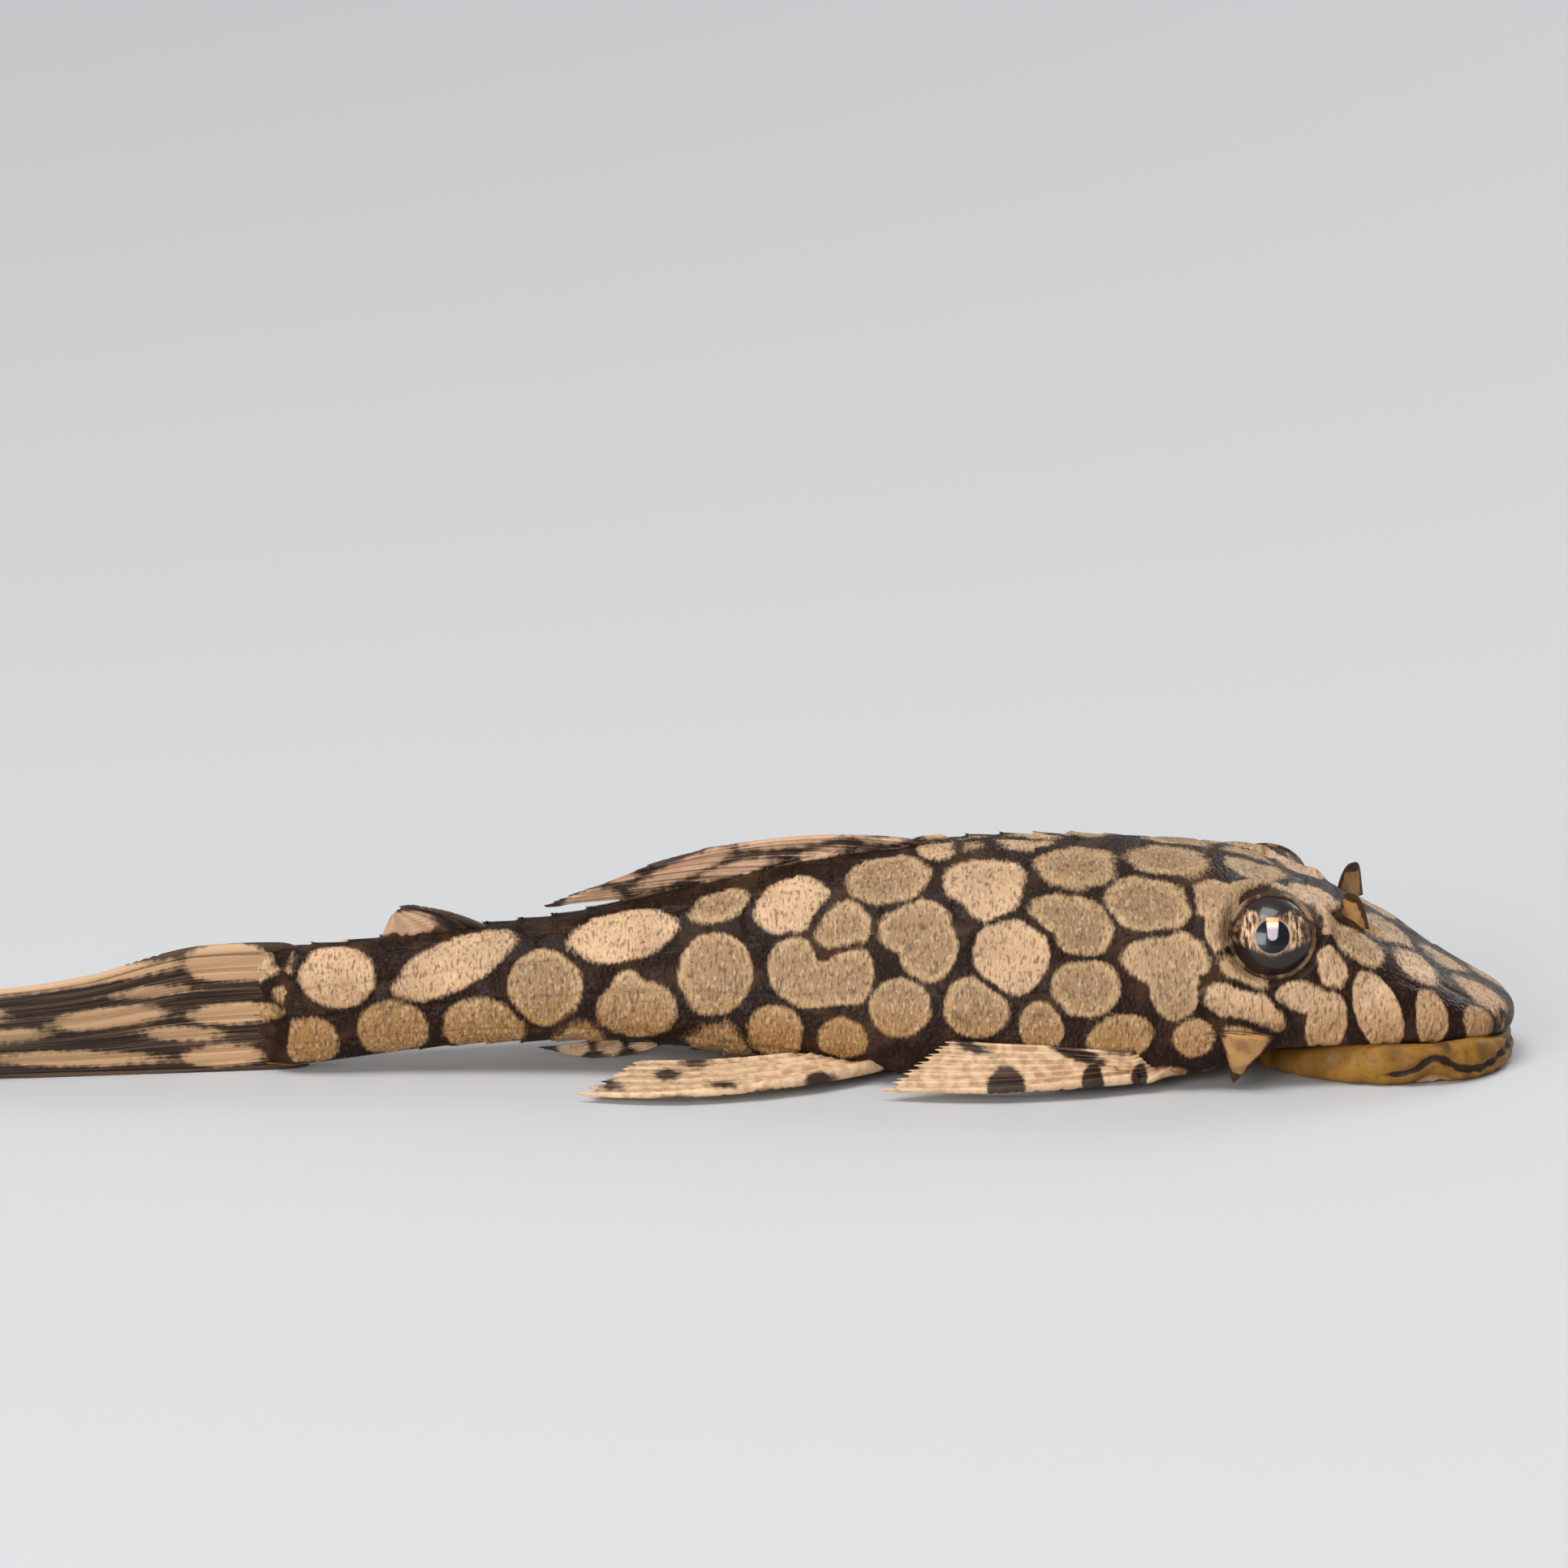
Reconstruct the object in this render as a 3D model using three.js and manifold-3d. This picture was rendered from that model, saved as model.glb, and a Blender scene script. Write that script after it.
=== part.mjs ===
// A young bristlenose pleco, life size, lying on a flat floor as it does on the bottom of a tank.
// Millimetres, +Z up, +X towards the snout. The origin is on the floor, midway along the fish.
// Stations along the body are counted backwards from the tip of the snout.
import * as THREE from "three";
import { mergeVertices } from "three/addons/utils/BufferGeometryUtils.js";
import Module from "manifold-3d";

const wasm = await Module();
wasm.setup();

// Driving sizes of the whole fish
const STANDARD_LENGTH = 50;
const TAIL_FIN_LENGTH = 15;
const TOTAL_LENGTH = STANDARD_LENGTH + TAIL_FIN_LENGTH;
const GAP = 0.3;

// Where the body is parted
const GILL_CUT = 13.4;
const HIP_CUT = 33;
const PEDUNCLE_END = 49.9;

// Steps down each flank, a few to each row of scutes, and on across the belly
const SCUTE_ROWS = 5;
const POINTS_PER_ROW = 3;
const BELLY_STEPS = 3;
const FLANK_STEPS = SCUTE_ROWS * POINTS_PER_ROW;

// Bony scutes
const SCUTE_START = 16.4;
const SCUTE_COUNT = 24;
const SCUTE_LENGTH = (PEDUNCLE_END - SCUTE_START) / SCUTE_COUNT;
const SCUTE_RAISE = 0.17;
const SCUTE_FRONT = 0.14;
const SCUTE_BACK = 0.86;

// Bony plates of the head, parted by narrow seams across it and along it
const HEAD_SEAMS = [2.4, 4.7, 7.6, 10.9, 12.7];
const HEAD_SEAM_STEPS = [4, 8, 11];
const SEAM_WIDTH = 0.4;
const HEAD_PLATE_RAISE = 0.13;

// A smooth curve through a few [station, size] pairs
function curve(pairs) {
  const slopes = pairs.map((pair, i) => {
    const before = pairs[Math.max(i - 1, 0)];
    const after = pairs[Math.min(i + 1, pairs.length - 1)];
    return (after[1] - before[1]) / (after[0] - before[0]);
  });
  return (s) => {
    const last = pairs.length - 1;
    if (s <= pairs[0][0]) return pairs[0][1];
    if (s >= pairs[last][0]) return pairs[last][1];
    let i = 0;
    while (s > pairs[i + 1][0]) i += 1;
    const span = pairs[i + 1][0] - pairs[i][0];
    const t = (s - pairs[i][0]) / span;
    const leave = (2 * t ** 3 - 3 * t ** 2 + 1) * pairs[i][1] + (t ** 3 - 2 * t ** 2 + t) * span * slopes[i];
    return leave + (3 * t ** 2 - 2 * t ** 3) * pairs[i + 1][1] + (t ** 3 - t ** 2) * span * slopes[i + 1];
  };
}

// Body outline: back, underside, half width, height of the widest point, and how square the section is
const BACK = curve([
  [0, 2.35], [0.9, 2.85], [2.3, 3.6], [3.6, 4.45], [5.5, 5.75], [8, 7.0], [10.1, 7.85], [12.2, 8.45],
  [15.4, 8.75], [19, 8.85], [22.5, 8.8], [28.6, 8.05], [32, 7.35], [35.2, 6.7], [38.5, 5.95], [42, 5.6],
  [47.5, 5.1], [50, 5.0],
]);
const BELLY = curve([
  [0, 1.15], [10.4, 1.25], [12.6, 0.15], [14, -0.12], [27, -0.12], [31, 0.3], [35, 0.8], [40, 0.75],
  [44, 0.4], [48, 0.08], [50, 0],
]);
const HALF_WIDTH = curve([
  [0, 5.3], [5, 5.75], [9, 6.35], [13, 7], [16, 7.2], [20, 6.95], [25, 6.1], [30, 4.95], [35, 3.75],
  [40, 2.8], [45, 2.0], [50, 1.45],
]);
const WIDEST_HEIGHT = curve([[0, 2.0], [14, 2.1], [30, 2.4], [40, 2.9], [50, 2.6]]);
const UPPER_POWER = curve([[0, 2.1], [10, 2.6], [16, 2.2], [24, 1.95], [36, 1.95], [50, 2.3]]);
const LOWER_POWER = curve([[0, 3.2], [14, 3], [30, 2.6], [50, 2.3]]);

// The tail is carried to the fish's right
const BEND = { start: 26, side: -2.8, power: 1.4 };
const bendShare = (s) => Math.max(s - BEND.start, 0) / (STANDARD_LENGTH - BEND.start);
const bendAt = (s) => BEND.side * bendShare(s) ** BEND.power;

// The blunt front of the snout
const SNOUT_MID = 1.9;
const SNOUT_ROUND_WIDE = 6;
const SNOUT_ROUND_TALL = 0.7;
const SNOUT_POWER = 2.35;
const quarter = (t, power = 2) => (1 - (1 - Math.min(t, 1)) ** power) ** (1 / power);
const backAt = (s) => SNOUT_MID + (BACK(s) - SNOUT_MID) * quarter(s / SNOUT_ROUND_TALL);
const bellyAt = (s) => SNOUT_MID - (SNOUT_MID - BELLY(s)) * quarter(s / SNOUT_ROUND_TALL);
const halfWidthAt = (s) => HALF_WIDTH(s) * quarter(s / SNOUT_ROUND_WIDE, SNOUT_POWER);

// Half width of the body at a station and a height
function flankAt(s, z) {
  const middle = WIDEST_HEIGHT(s);
  const power = z > middle ? UPPER_POWER(s) : LOWER_POWER(s);
  const reach = z > middle ? backAt(s) - middle : middle - bellyAt(s);
  const share = Math.min(Math.abs(z - middle) / reach, 1);
  return halfWidthAt(s) * (1 - share ** power) ** (1 / power);
}

// Eyes, set high on the head and looking out and up
const EYE = { station: 10.05, height: 6.3, radius: 1.95, sunk: 1.2, tilt: THREE.MathUtils.degToRad(32) };
const eyeSkin = { y: flankAt(EYE.station, EYE.height), z: EYE.height };
const eyeOut = { y: Math.cos(EYE.tilt), z: Math.sin(EYE.tilt) };
const eyeCentre = {
  y: eyeSkin.y - eyeOut.y * EYE.sunk,
  z: eyeSkin.z - eyeOut.z * EYE.sunk,
};
const ORBIT = { ring: 2.3, width: 0.6, raise: 0.62 };

// The raised rim round each eye
function orbitRaise(s, y, z) {
  const away = Math.hypot(s - EYE.station, Math.abs(y) - eyeSkin.y, z - eyeSkin.z);
  const overBrow = 0.6 + 0.4 * Math.min(Math.max((z - eyeSkin.z) / ORBIT.ring, -1), 1);
  return ORBIT.raise * overBrow * Math.exp(-(((away - ORBIT.ring) / ORBIT.width) ** 2));
}

// How far a plate or scute stands up at a station and a step down the flank
function plateRaise(s, step) {
  if (step > FLANK_STEPS) return 0;
  if (s < GILL_CUT) {
    const nearSeam = HEAD_SEAMS.some((seam) => Math.abs(s - seam) < 0.5 * SEAM_WIDTH);
    const onPlate = s > HEAD_SEAMS[0] && !nearSeam && !HEAD_SEAM_STEPS.includes(step);
    return onPlate ? HEAD_PLATE_RAISE : 0;
  }
  if (s < SCUTE_START) return 0;
  const along = ((s - SCUTE_START) / SCUTE_LENGTH) % 1;
  const inGroove = along < 1e-6 || along > 1 - 1e-6 || step % POINTS_PER_ROW === 0;
  if (inGroove) return 0;
  return SCUTE_RAISE * (0.45 + 0.55 * along);
}

// One half of a section, from the ridge of the back down to the middle of the belly
const SECTION_SAMPLES = 240;
const FLANK_END = 0.86;
function halfSection(s) {
  const centre = s < SNOUT_ROUND_TALL ? SNOUT_MID : WIDEST_HEIGHT(s);
  const fine = [];
  for (let k = 0; k <= SECTION_SAMPLES; k += 1) {
    const angle = Math.PI * (0.5 - k / SECTION_SAMPLES);
    const power = angle > 0 ? UPPER_POWER(s) : LOWER_POWER(s);
    const reach = angle > 0 ? backAt(s) - centre : centre - bellyAt(s);
    const y = halfWidthAt(s) * Math.abs(Math.cos(angle)) ** (2 / power);
    const z = centre + Math.sign(Math.sin(angle)) * reach * Math.abs(Math.sin(angle)) ** (2 / power);
    fine.push([y, z]);
  }
  const lengths = [0];
  for (let k = 1; k < fine.length; k += 1) {
    lengths.push(lengths[k - 1] + Math.hypot(fine[k][0] - fine[k - 1][0], fine[k][1] - fine[k - 1][1]));
  }
  const flankEnd = lengths[Math.round(SECTION_SAMPLES * FLANK_END)];
  const total = lengths[SECTION_SAMPLES];
  const points = [];
  for (let step = 0; step <= FLANK_STEPS + BELLY_STEPS; step += 1) {
    const onBelly = step - FLANK_STEPS;
    const flankRun = (flankEnd * step) / FLANK_STEPS;
    const want = onBelly <= 0 ? flankRun : flankEnd + ((total - flankEnd) * onBelly) / BELLY_STEPS;
    let k = 1;
    while (k < SECTION_SAMPLES && lengths[k] < want) k += 1;
    const t = (want - lengths[k - 1]) / Math.max(lengths[k] - lengths[k - 1], 1e-9);
    const y = fine[k - 1][0] + (fine[k][0] - fine[k - 1][0]) * t;
    const z = fine[k - 1][1] + (fine[k][1] - fine[k - 1][1]) * t;
    const slope = Math.hypot(fine[k][0] - fine[k - 1][0], fine[k][1] - fine[k - 1][1]);
    const out = [-(fine[k][1] - fine[k - 1][1]) / slope, (fine[k][0] - fine[k - 1][0]) / slope];
    const raise = plateRaise(s, step) + orbitRaise(s, y, z);
    const onMiddle = step === 0 || step === FLANK_STEPS + BELLY_STEPS;
    points.push([onMiddle ? 0 : y + out[0] * raise, z + out[1] * raise]);
  }
  return points;
}

const place = (s, y, z) => [TOTAL_LENGTH / 2 - s, y + bendAt(s), Math.max(z, 0)];

// A closed mesh from rings of points that all have the same count, with a flat or pointed end at each side
function loft(rings, noseTip, tailTip) {
  const count = rings[0].length;
  const positions = [];
  rings.forEach((ring) => ring.forEach((point) => positions.push(...point)));
  const nose = positions.length / 3;
  positions.push(...noseTip);
  const tail = positions.length / 3;
  positions.push(...tailTip);
  const faces = [];
  for (let i = 0; i < count; i += 1) {
    const next = (i + 1) % count;
    faces.push(nose, next, i);
    const last = (rings.length - 1) * count;
    faces.push(tail, last + i, last + next);
    for (let r = 0; r + 1 < rings.length; r += 1) {
      const here = r * count;
      const there = here + count;
      faces.push(here + i, here + next, there + next, here + i, there + next, there + i);
    }
  }
  return solid(positions, faces);
}

// A manifold solid from positions and faces, turned the right way out
function solid(positions, faces) {
  const make = (corners) => new wasm.Manifold(new wasm.Mesh({
    numProp: 3,
    vertProperties: new Float32Array(positions),
    triVerts: new Uint32Array(corners),
  }));
  const made = make(faces);
  return made.volume() > 0 ? made : make([...faces].reverse());
}

// A manifold solid from a three.js geometry
function solidOf(geometry) {
  const plain = geometry.clone();
  plain.deleteAttribute("normal");
  plain.deleteAttribute("uv");
  const merged = mergeVertices(plain, 1e-4);
  return solid(merged.attributes.position.array, merged.index.array);
}

// Both halves of a section as one closed ring
function ringAt(s) {
  const half = halfSection(s);
  const right = half.map(([y, z]) => place(s, -y, z));
  const left = half.slice(1, -1).reverse().map(([y, z]) => place(s, y, z));
  return [...right, ...left];
}

function bodyBetween(stations) {
  const rings = stations.map(ringAt);
  const first = stations[0];
  const last = stations[stations.length - 1];
  const middle = (s) => place(s, 0, (Math.max(bellyAt(s), 0) + backAt(s)) / 2);
  const nose = first < 0.1 ? place(0, 0, SNOUT_MID) : middle(first);
  return loft(rings, nose, middle(last));
}

// Stations of the three lengths of the body
const SNOUT_STATIONS = [0.04, 0.16, 0.4, 0.8, 1.4, 1.9];
const HEAD_STEP = 0.46;
const headStations = [...SNOUT_STATIONS];
HEAD_SEAMS.forEach((seam, i) => {
  const next = (HEAD_SEAMS[i + 1] ?? GILL_CUT + SEAM_WIDTH) - SEAM_WIDTH / 2;
  const start = seam + SEAM_WIDTH / 2;
  const parts = Math.max(Math.round((next - start) / HEAD_STEP), 1);
  headStations.push(seam - SEAM_WIDTH / 2, seam);
  for (let k = 0; k < parts; k += 1) headStations.push(start + ((next - start) * k) / parts);
});
headStations.push(GILL_CUT);
function scuteStations(from, to) {
  const stations = [from];
  const edges = [0, SCUTE_FRONT, SCUTE_BACK];
  for (let i = 0; i < SCUTE_COUNT; i += 1) {
    for (const edge of edges) {
      const s = SCUTE_START + (i + edge) * SCUTE_LENGTH;
      if (s > from + 0.12 && s < to - 0.12) stations.push(s);
    }
  }
  stations.push(to);
  return stations;
}
const shoulderStations = [GILL_CUT + GAP, 14.4, 15.1, 15.8];
const trunkStations = [...shoulderStations, ...scuteStations(SCUTE_START, HIP_CUT)];
const tailStations = scuteStations(HIP_CUT + GAP, PEDUNCLE_END);

// Small shapes that are fused to the head
const SOCKET_DETAIL = 3;
const PIT_DETAIL = 1;
const EYE_DETAIL = 4;
function ball(radius, detail) {
  return solidOf(new THREE.IcosahedronGeometry(radius, detail));
}
function spike(from, to, radius, sides = 5) {
  const axis = new THREE.Vector3().subVectors(to, from);
  const cone = new THREE.ConeGeometry(radius, axis.length(), sides, 1);
  cone.translate(0, axis.length() / 2, 0);
  const upright = new THREE.Vector3(0, 1, 0);
  cone.applyQuaternion(new THREE.Quaternion().setFromUnitVectors(upright, axis.normalize()));
  cone.translate(from.x, from.y, from.z);
  return solidOf(cone);
}
const vector = (s, y, z) => new THREE.Vector3(TOTAL_LENGTH / 2 - s, y, z);
const keepLargest = (shape) => shape.decompose().reduce((a, b) => (a.volume() > b.volume() ? a : b));

// Nostrils: a pit before and behind an upright flap of skin
const NOSTRIL = {
  station: 6.65,
  side: 2.5,
  pit: 0.5,
  pitSteps: [-0.85, 0.8],
  flapHeight: 1.2,
  flapWidth: 0.75,
  flapThick: 0.5,
  flapTurn: THREE.MathUtils.degToRad(62),
};

function nostrilFlap(side) {
  const base = skinTop(NOSTRIL.station, NOSTRIL.side);
  const outline = new THREE.Shape();
  outline.moveTo(-NOSTRIL.flapWidth, -0.6);
  outline.lineTo(NOSTRIL.flapWidth, -0.6);
  outline.lineTo(NOSTRIL.flapWidth * 0.85, NOSTRIL.flapHeight * 0.55);
  outline.lineTo(NOSTRIL.flapWidth * 0.2, NOSTRIL.flapHeight);
  outline.lineTo(-NOSTRIL.flapWidth * 0.5, NOSTRIL.flapHeight * 0.7);
  const flap = new THREE.ExtrudeGeometry(outline, { depth: NOSTRIL.flapThick, bevelEnabled: false });
  flap.translate(0, 0, -NOSTRIL.flapThick / 2);
  flap.rotateX(Math.PI / 2);
  flap.rotateZ(side * NOSTRIL.flapTurn);
  flap.translate(TOTAL_LENGTH / 2 - NOSTRIL.station, side * NOSTRIL.side, base);
  return solidOf(flap);
}

// Height of the upper skin at a station and a distance from the middle
function skinTop(s, y) {
  const middle = WIDEST_HEIGHT(s);
  const power = UPPER_POWER(s);
  return middle + (backAt(s) - middle) * (1 - Math.min(y / halfWidthAt(s), 1) ** power) ** (1 / power);
}

// Cheek spines: a small fan of hooked spines on the rear corner of each cheek
const CHEEK = { spines: 5, station: 11.7, height: 1.75, length: 1.15, radius: 0.27 };

function cheekSpines(side) {
  const spines = [];
  for (let i = 0; i < CHEEK.spines; i += 1) {
    const share = i / (CHEEK.spines - 1);
    const s = CHEEK.station + 0.35 * share;
    const z = CHEEK.height + 0.75 * share;
    const y = flankAt(s, z) - 0.35;
    const length = CHEEK.length * (0.8 + 0.35 * Math.sin(Math.PI * share));
    const tip = vector(s + length, side * (y + 0.7 * length), z - 0.22 * length * (1 - share));
    spines.push(spike(vector(s, side * y, z), tip, CHEEK.radius));
  }
  return spines;
}

function headSolid() {
  let head = bodyBetween(headStations);
  for (const side of [-1, 1]) {
    const socket = ball(EYE.radius + GAP, SOCKET_DETAIL);
    const centre = vector(EYE.station, side * eyeCentre.y, eyeCentre.z);
    head = head.subtract(socket.translate([centre.x, centre.y, centre.z]));
    for (const step of NOSTRIL.pitSteps) {
      const s = NOSTRIL.station + step;
      const pit = vector(s, side * NOSTRIL.side, skinTop(s, NOSTRIL.side) + 0.1);
      head = head.subtract(ball(NOSTRIL.pit, PIT_DETAIL).translate([pit.x, pit.y, pit.z]));
    }
    head = head.add(nostrilFlap(side));
    cheekSpines(side).forEach((spine) => {
      head = head.add(spine);
    });
  }
  return keepLargest(head);
}

// Sucker mouth: a round disc under the snout, with the mouth opening between the lips
const DISC = { front: 0, back: 11, halfWidth: 6.2, widest: 5, thick: 0.9, sides: 48, power: 2.35 };
const DISC_LEVELS = [[0, 0.95], [0.2, 1], [0.5, 0.985], [0.75, 0.93], [DISC.thick, 0.85]];
const MOUTH = { station: 4.6, length: 1.2, halfWidth: 2.7, depth: 0.6 };
const BARBEL = {
  station: 8.6,
  side: 5.1,
  length: 2.4,
  spread: 1,
  rootHeight: 0.55,
  tipHeight: 0.3,
  radius: 0.42,
  sides: 8,
};

function lipsSolid() {
  const rings = DISC_LEVELS.map(([z, share]) => {
    const ring = [];
    for (let i = 0; i < DISC.sides; i += 1) {
      const angle = (2 * Math.PI * i) / DISC.sides;
      const along = Math.cos(angle);
      const reach = along > 0 ? DISC.widest - DISC.front : DISC.back - DISC.widest;
      const power = along > 0 ? 2 / DISC.power : 1;
      const s = DISC.widest - reach * share * Math.sign(along) * Math.abs(along) ** power;
      const y = DISC.halfWidth * share * Math.sign(Math.sin(angle)) * Math.abs(Math.sin(angle)) ** power;
      ring.push(place(s, y, z));
    }
    return ring;
  });
  let lips = loft(rings, place(DISC.widest, 0, 0), place(DISC.widest, 0, DISC.thick));
  for (const side of [-1, 1]) {
    const from = vector(BARBEL.station, side * BARBEL.side, BARBEL.rootHeight);
    const to = vector(BARBEL.station + BARBEL.length, side * (BARBEL.side + BARBEL.spread), BARBEL.tipHeight);
    lips = lips.add(spike(from, to, BARBEL.radius, BARBEL.sides));
  }
  const opening = solidOf(new THREE.SphereGeometry(1, 20, 12));
  const mouth = opening.scale([MOUTH.length, MOUTH.halfWidth, MOUTH.depth]);
  lips = lips.subtract(mouth.translate([TOTAL_LENGTH / 2 - MOUTH.station, 0, 0]));
  return keepLargest(lips);
}

// A fin: rays as ridges on a thin membrane. path(u, v) is the middle of the sheet, u across the rays and
// v from root to tip; side(u, v) is the direction of its thickness.
function finSolid({ rays, steps, path, across, thick, membrane, tip }) {
  const columns = (rays - 1) * 2 + 1;
  const rows = steps + 1;
  const faces = [];
  const positions = [];
  const point = (c, r, sign) => {
    const u = c / (columns - 1);
    const isRay = c % 2 === 0;
    const v = (r / steps) * (isRay ? 1 : 0.955);
    const middle = path(u, v);
    const full = isRay ? thick(u) : membrane;
    const half = (full + (tip - full) * v ** 2.2) / 2;
    const n = across(u, v);
    return [middle[0] + n[0] * half * sign, middle[1] + n[1] * half * sign, middle[2] + n[2] * half * sign];
  };
  for (const sign of [1, -1]) {
    for (let c = 0; c < columns; c += 1) {
      for (let r = 0; r < rows; r += 1) positions.push(...place(...point(c, r, sign)));
    }
  }
  const sheet = columns * rows;
  const at = (c, r, back) => c * rows + r + (back ? sheet : 0);
  for (let c = 0; c + 1 < columns; c += 1) {
    for (let r = 0; r + 1 < rows; r += 1) {
      faces.push(at(c, r), at(c + 1, r), at(c + 1, r + 1), at(c, r), at(c + 1, r + 1), at(c, r + 1));
      faces.push(at(c, r, 1), at(c + 1, r + 1, 1), at(c + 1, r, 1));
      faces.push(at(c, r, 1), at(c, r + 1, 1), at(c + 1, r + 1, 1));
    }
    for (const r of [0, rows - 1]) {
      const edge = [at(c, r), at(c, r, 1), at(c + 1, r, 1), at(c, r), at(c + 1, r, 1), at(c + 1, r)];
      faces.push(...(r === 0 ? edge : edge.reverse()));
    }
  }
  for (const c of [0, columns - 1]) {
    for (let r = 0; r + 1 < rows; r += 1) {
      const edge = [at(c, r), at(c, r + 1), at(c, r + 1, 1), at(c, r), at(c, r + 1, 1), at(c, r, 1)];
      faces.push(...(c === 0 ? edge : edge.reverse()));
    }
  }
  return solid(positions, faces);
}

const mix = (a, b, t) => a + (b - a) * t;
const mix3 = (a, b, t) => a.map((value, i) => mix(value, b[i], t));
const unit = (v) => v.map((value) => value / Math.hypot(...v));

// Dorsal fin, folded down along the back
const DORSAL = { origin: 22.9, base: 11.4, rays: 8, bow: 0.7 };
const DORSAL_TIP = { spine: [35.3, 0, 7.87], last: [39.6, 0, 6.35] };
const dorsalFin = finSolid({
  rays: DORSAL.rays,
  steps: 10,
  path: (u, v) => {
    const s = DORSAL.origin + DORSAL.base * u;
    const root = [s, 0, BACK(s) + GAP + 0.02];
    const tip = mix3(DORSAL_TIP.spine, DORSAL_TIP.last, u);
    const point = mix3(root, tip, v);
    point[2] += 4 * v * (1 - v) * mix(DORSAL.bow, 0.05, u ** 0.8);
    point[2] = Math.max(point[2], BACK(point[0]) + GAP + 0.02);
    return point;
  },
  across: () => [0, 1, 0],
  thick: (u) => mix(0.85, 0.62, u),
  membrane: 0.46,
  tip: 0.34,
});

// Adipose fin: a short spine that leans back, with a web behind it
const ADIPOSE = { origin: 41.6, end: 46.1, tip: [45.3, 0, 6.55] };
const adiposeFin = finSolid({
  rays: 3,
  steps: 4,
  path: (u, v) => {
    const s = mix(ADIPOSE.origin, ADIPOSE.end, u);
    const root = [s, 0, BACK(s) + GAP + 0.02];
    const lean = [ADIPOSE.tip[0] + 0.3 * u, 0, ADIPOSE.tip[2] - 0.35 * u];
    return mix3(root, lean, v);
  },
  across: () => [0, 1, 0],
  thick: (u) => mix(0.7, 0.5, u),
  membrane: 0.5,
  tip: 0.3,
});

// Anal fin, small and folded back under the tail
const ANAL = { origin: 33.6, base: 2.4, rays: 5, thick: 0.55 };
const ANAL_TIP = { spine: [38.3, 0, 0.05], last: [39.8, 0, 0.42] };
const analFin = finSolid({
  rays: ANAL.rays,
  steps: 4,
  path: (u, v) => {
    const s = ANAL.origin + ANAL.base * u;
    return mix3([s, 0, BELLY(s) - GAP - 0.02 - 0.12 * (1 - u)], mix3(ANAL_TIP.spine, ANAL_TIP.last, u), v);
  },
  across: () => [0, 1, 0],
  thick: () => ANAL.thick,
  membrane: 0.42,
  tip: 0.3,
});

// Tail fin, half closed, its lower edge on the floor and its lower lobe the longer
const CAUDAL = { rays: 16, root: PEDUNCLE_END + GAP, sweep: 0.3, pleat: 0.1 };
const CAUDAL_TOP = curve([[50, 5.05], [53.3, 4.98], [55, 4.7], [58, 3.95], [61.5, 3.6], [65, 3.5]]);
const CAUDAL_LOW = curve([[50, 0.12], [53, 0.02], [58, 0.05], [65, 0.12]]);
const caudalReach = (u) => mix(63.4, TOTAL_LENGTH, u ** 1.5) - 1.3 * Math.sin(Math.PI * u) ** 1.5;
const caudalFin = finSolid({
  rays: CAUDAL.rays,
  steps: 9,
  path: (u, v) => {
    const s = mix(CAUDAL.root, caudalReach(u), v);
    const away = (s - CAUDAL.root) / TAIL_FIN_LENGTH;
    const pleat = CAUDAL.pleat * Math.sin(Math.PI * u * (CAUDAL.rays - 1)) * Math.min(v * 3, 1);
    return [s, CAUDAL.sweep * away ** 2 + pleat, mix(CAUDAL_TOP(s), CAUDAL_LOW(s), u)];
  },
  across: (u, v) => unit([0.15 * v, 1, 0]),
  thick: (u) => 0.56 + 0.3 * Math.abs(2 * u - 1) ** 6,
  membrane: 0.4,
  tip: 0.3,
});

// Paired fins: the spine lies low and outward on the floor, and the inner rays reach back along the flank
function pairedFin({ side, root, tips, rays, steps, spine, ray, bow }) {
  const path = (u, v) => {
    const point = mix3(mix3(root.spine, root.last, u), mix3(tips.spine, tips.last, u ** 0.9), v);
    point[1] += mix(bow, bow * 0.35, u) * 4 * v * (1 - v);
    point[1] = Math.max(point[1], flankAt(point[0], point[2]) + SCUTE_RAISE + GAP + ray * 0.5);
    return [point[0], side * point[1], point[2]];
  };
  const across = (u, v) => {
    const a = path(Math.max(u - 0.05, 0), v);
    const b = path(Math.min(u + 0.05, 1), v);
    const slope = unit([0, b[1] - a[1], b[2] - a[2] + 1e-6]);
    return [0, -slope[2], slope[1]];
  };
  const thick = (u) => mix(spine, ray, Math.min(u * 5, 1));
  return finSolid({ rays, steps, path, across, thick, membrane: 0.42, tip: 0.34 });
}
const PECTORAL = {
  root: { spine: [14.1, 7.3, 0.62], last: [15.1, 7.3, 2.3] },
  tips: { spine: [25.9, 8.3, 0.4], last: [23.2, 7.2, 2.5] },
  rays: 7,
  steps: 10,
  spine: 1.05,
  ray: 0.55,
  bow: 1.4,
};
const PELVIC = {
  root: { spine: [25.4, 6.4, 0.6], last: [27.6, 5.9, 0.9] },
  tips: { spine: [37.5, 7.6, 0.3], last: [35.3, 4.7, 0.9] },
  rays: 6,
  steps: 10,
  spine: 0.8,
  ray: 0.52,
  bow: 2.1,
};

// Finishes
const skin = new THREE.MeshStandardMaterial({ color: 0x9b7f5c, roughness: 0.55, metalness: 0 });
const finWeb = new THREE.MeshStandardMaterial({ color: 0xb8925c, roughness: 0.5, metalness: 0 });
const lipSkin = new THREE.MeshStandardMaterial({ color: 0xa9793c, roughness: 0.5, metalness: 0 });
const eyeball = new THREE.MeshStandardMaterial({ color: 0x2a211c, roughness: 0.15, metalness: 0 });

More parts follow.
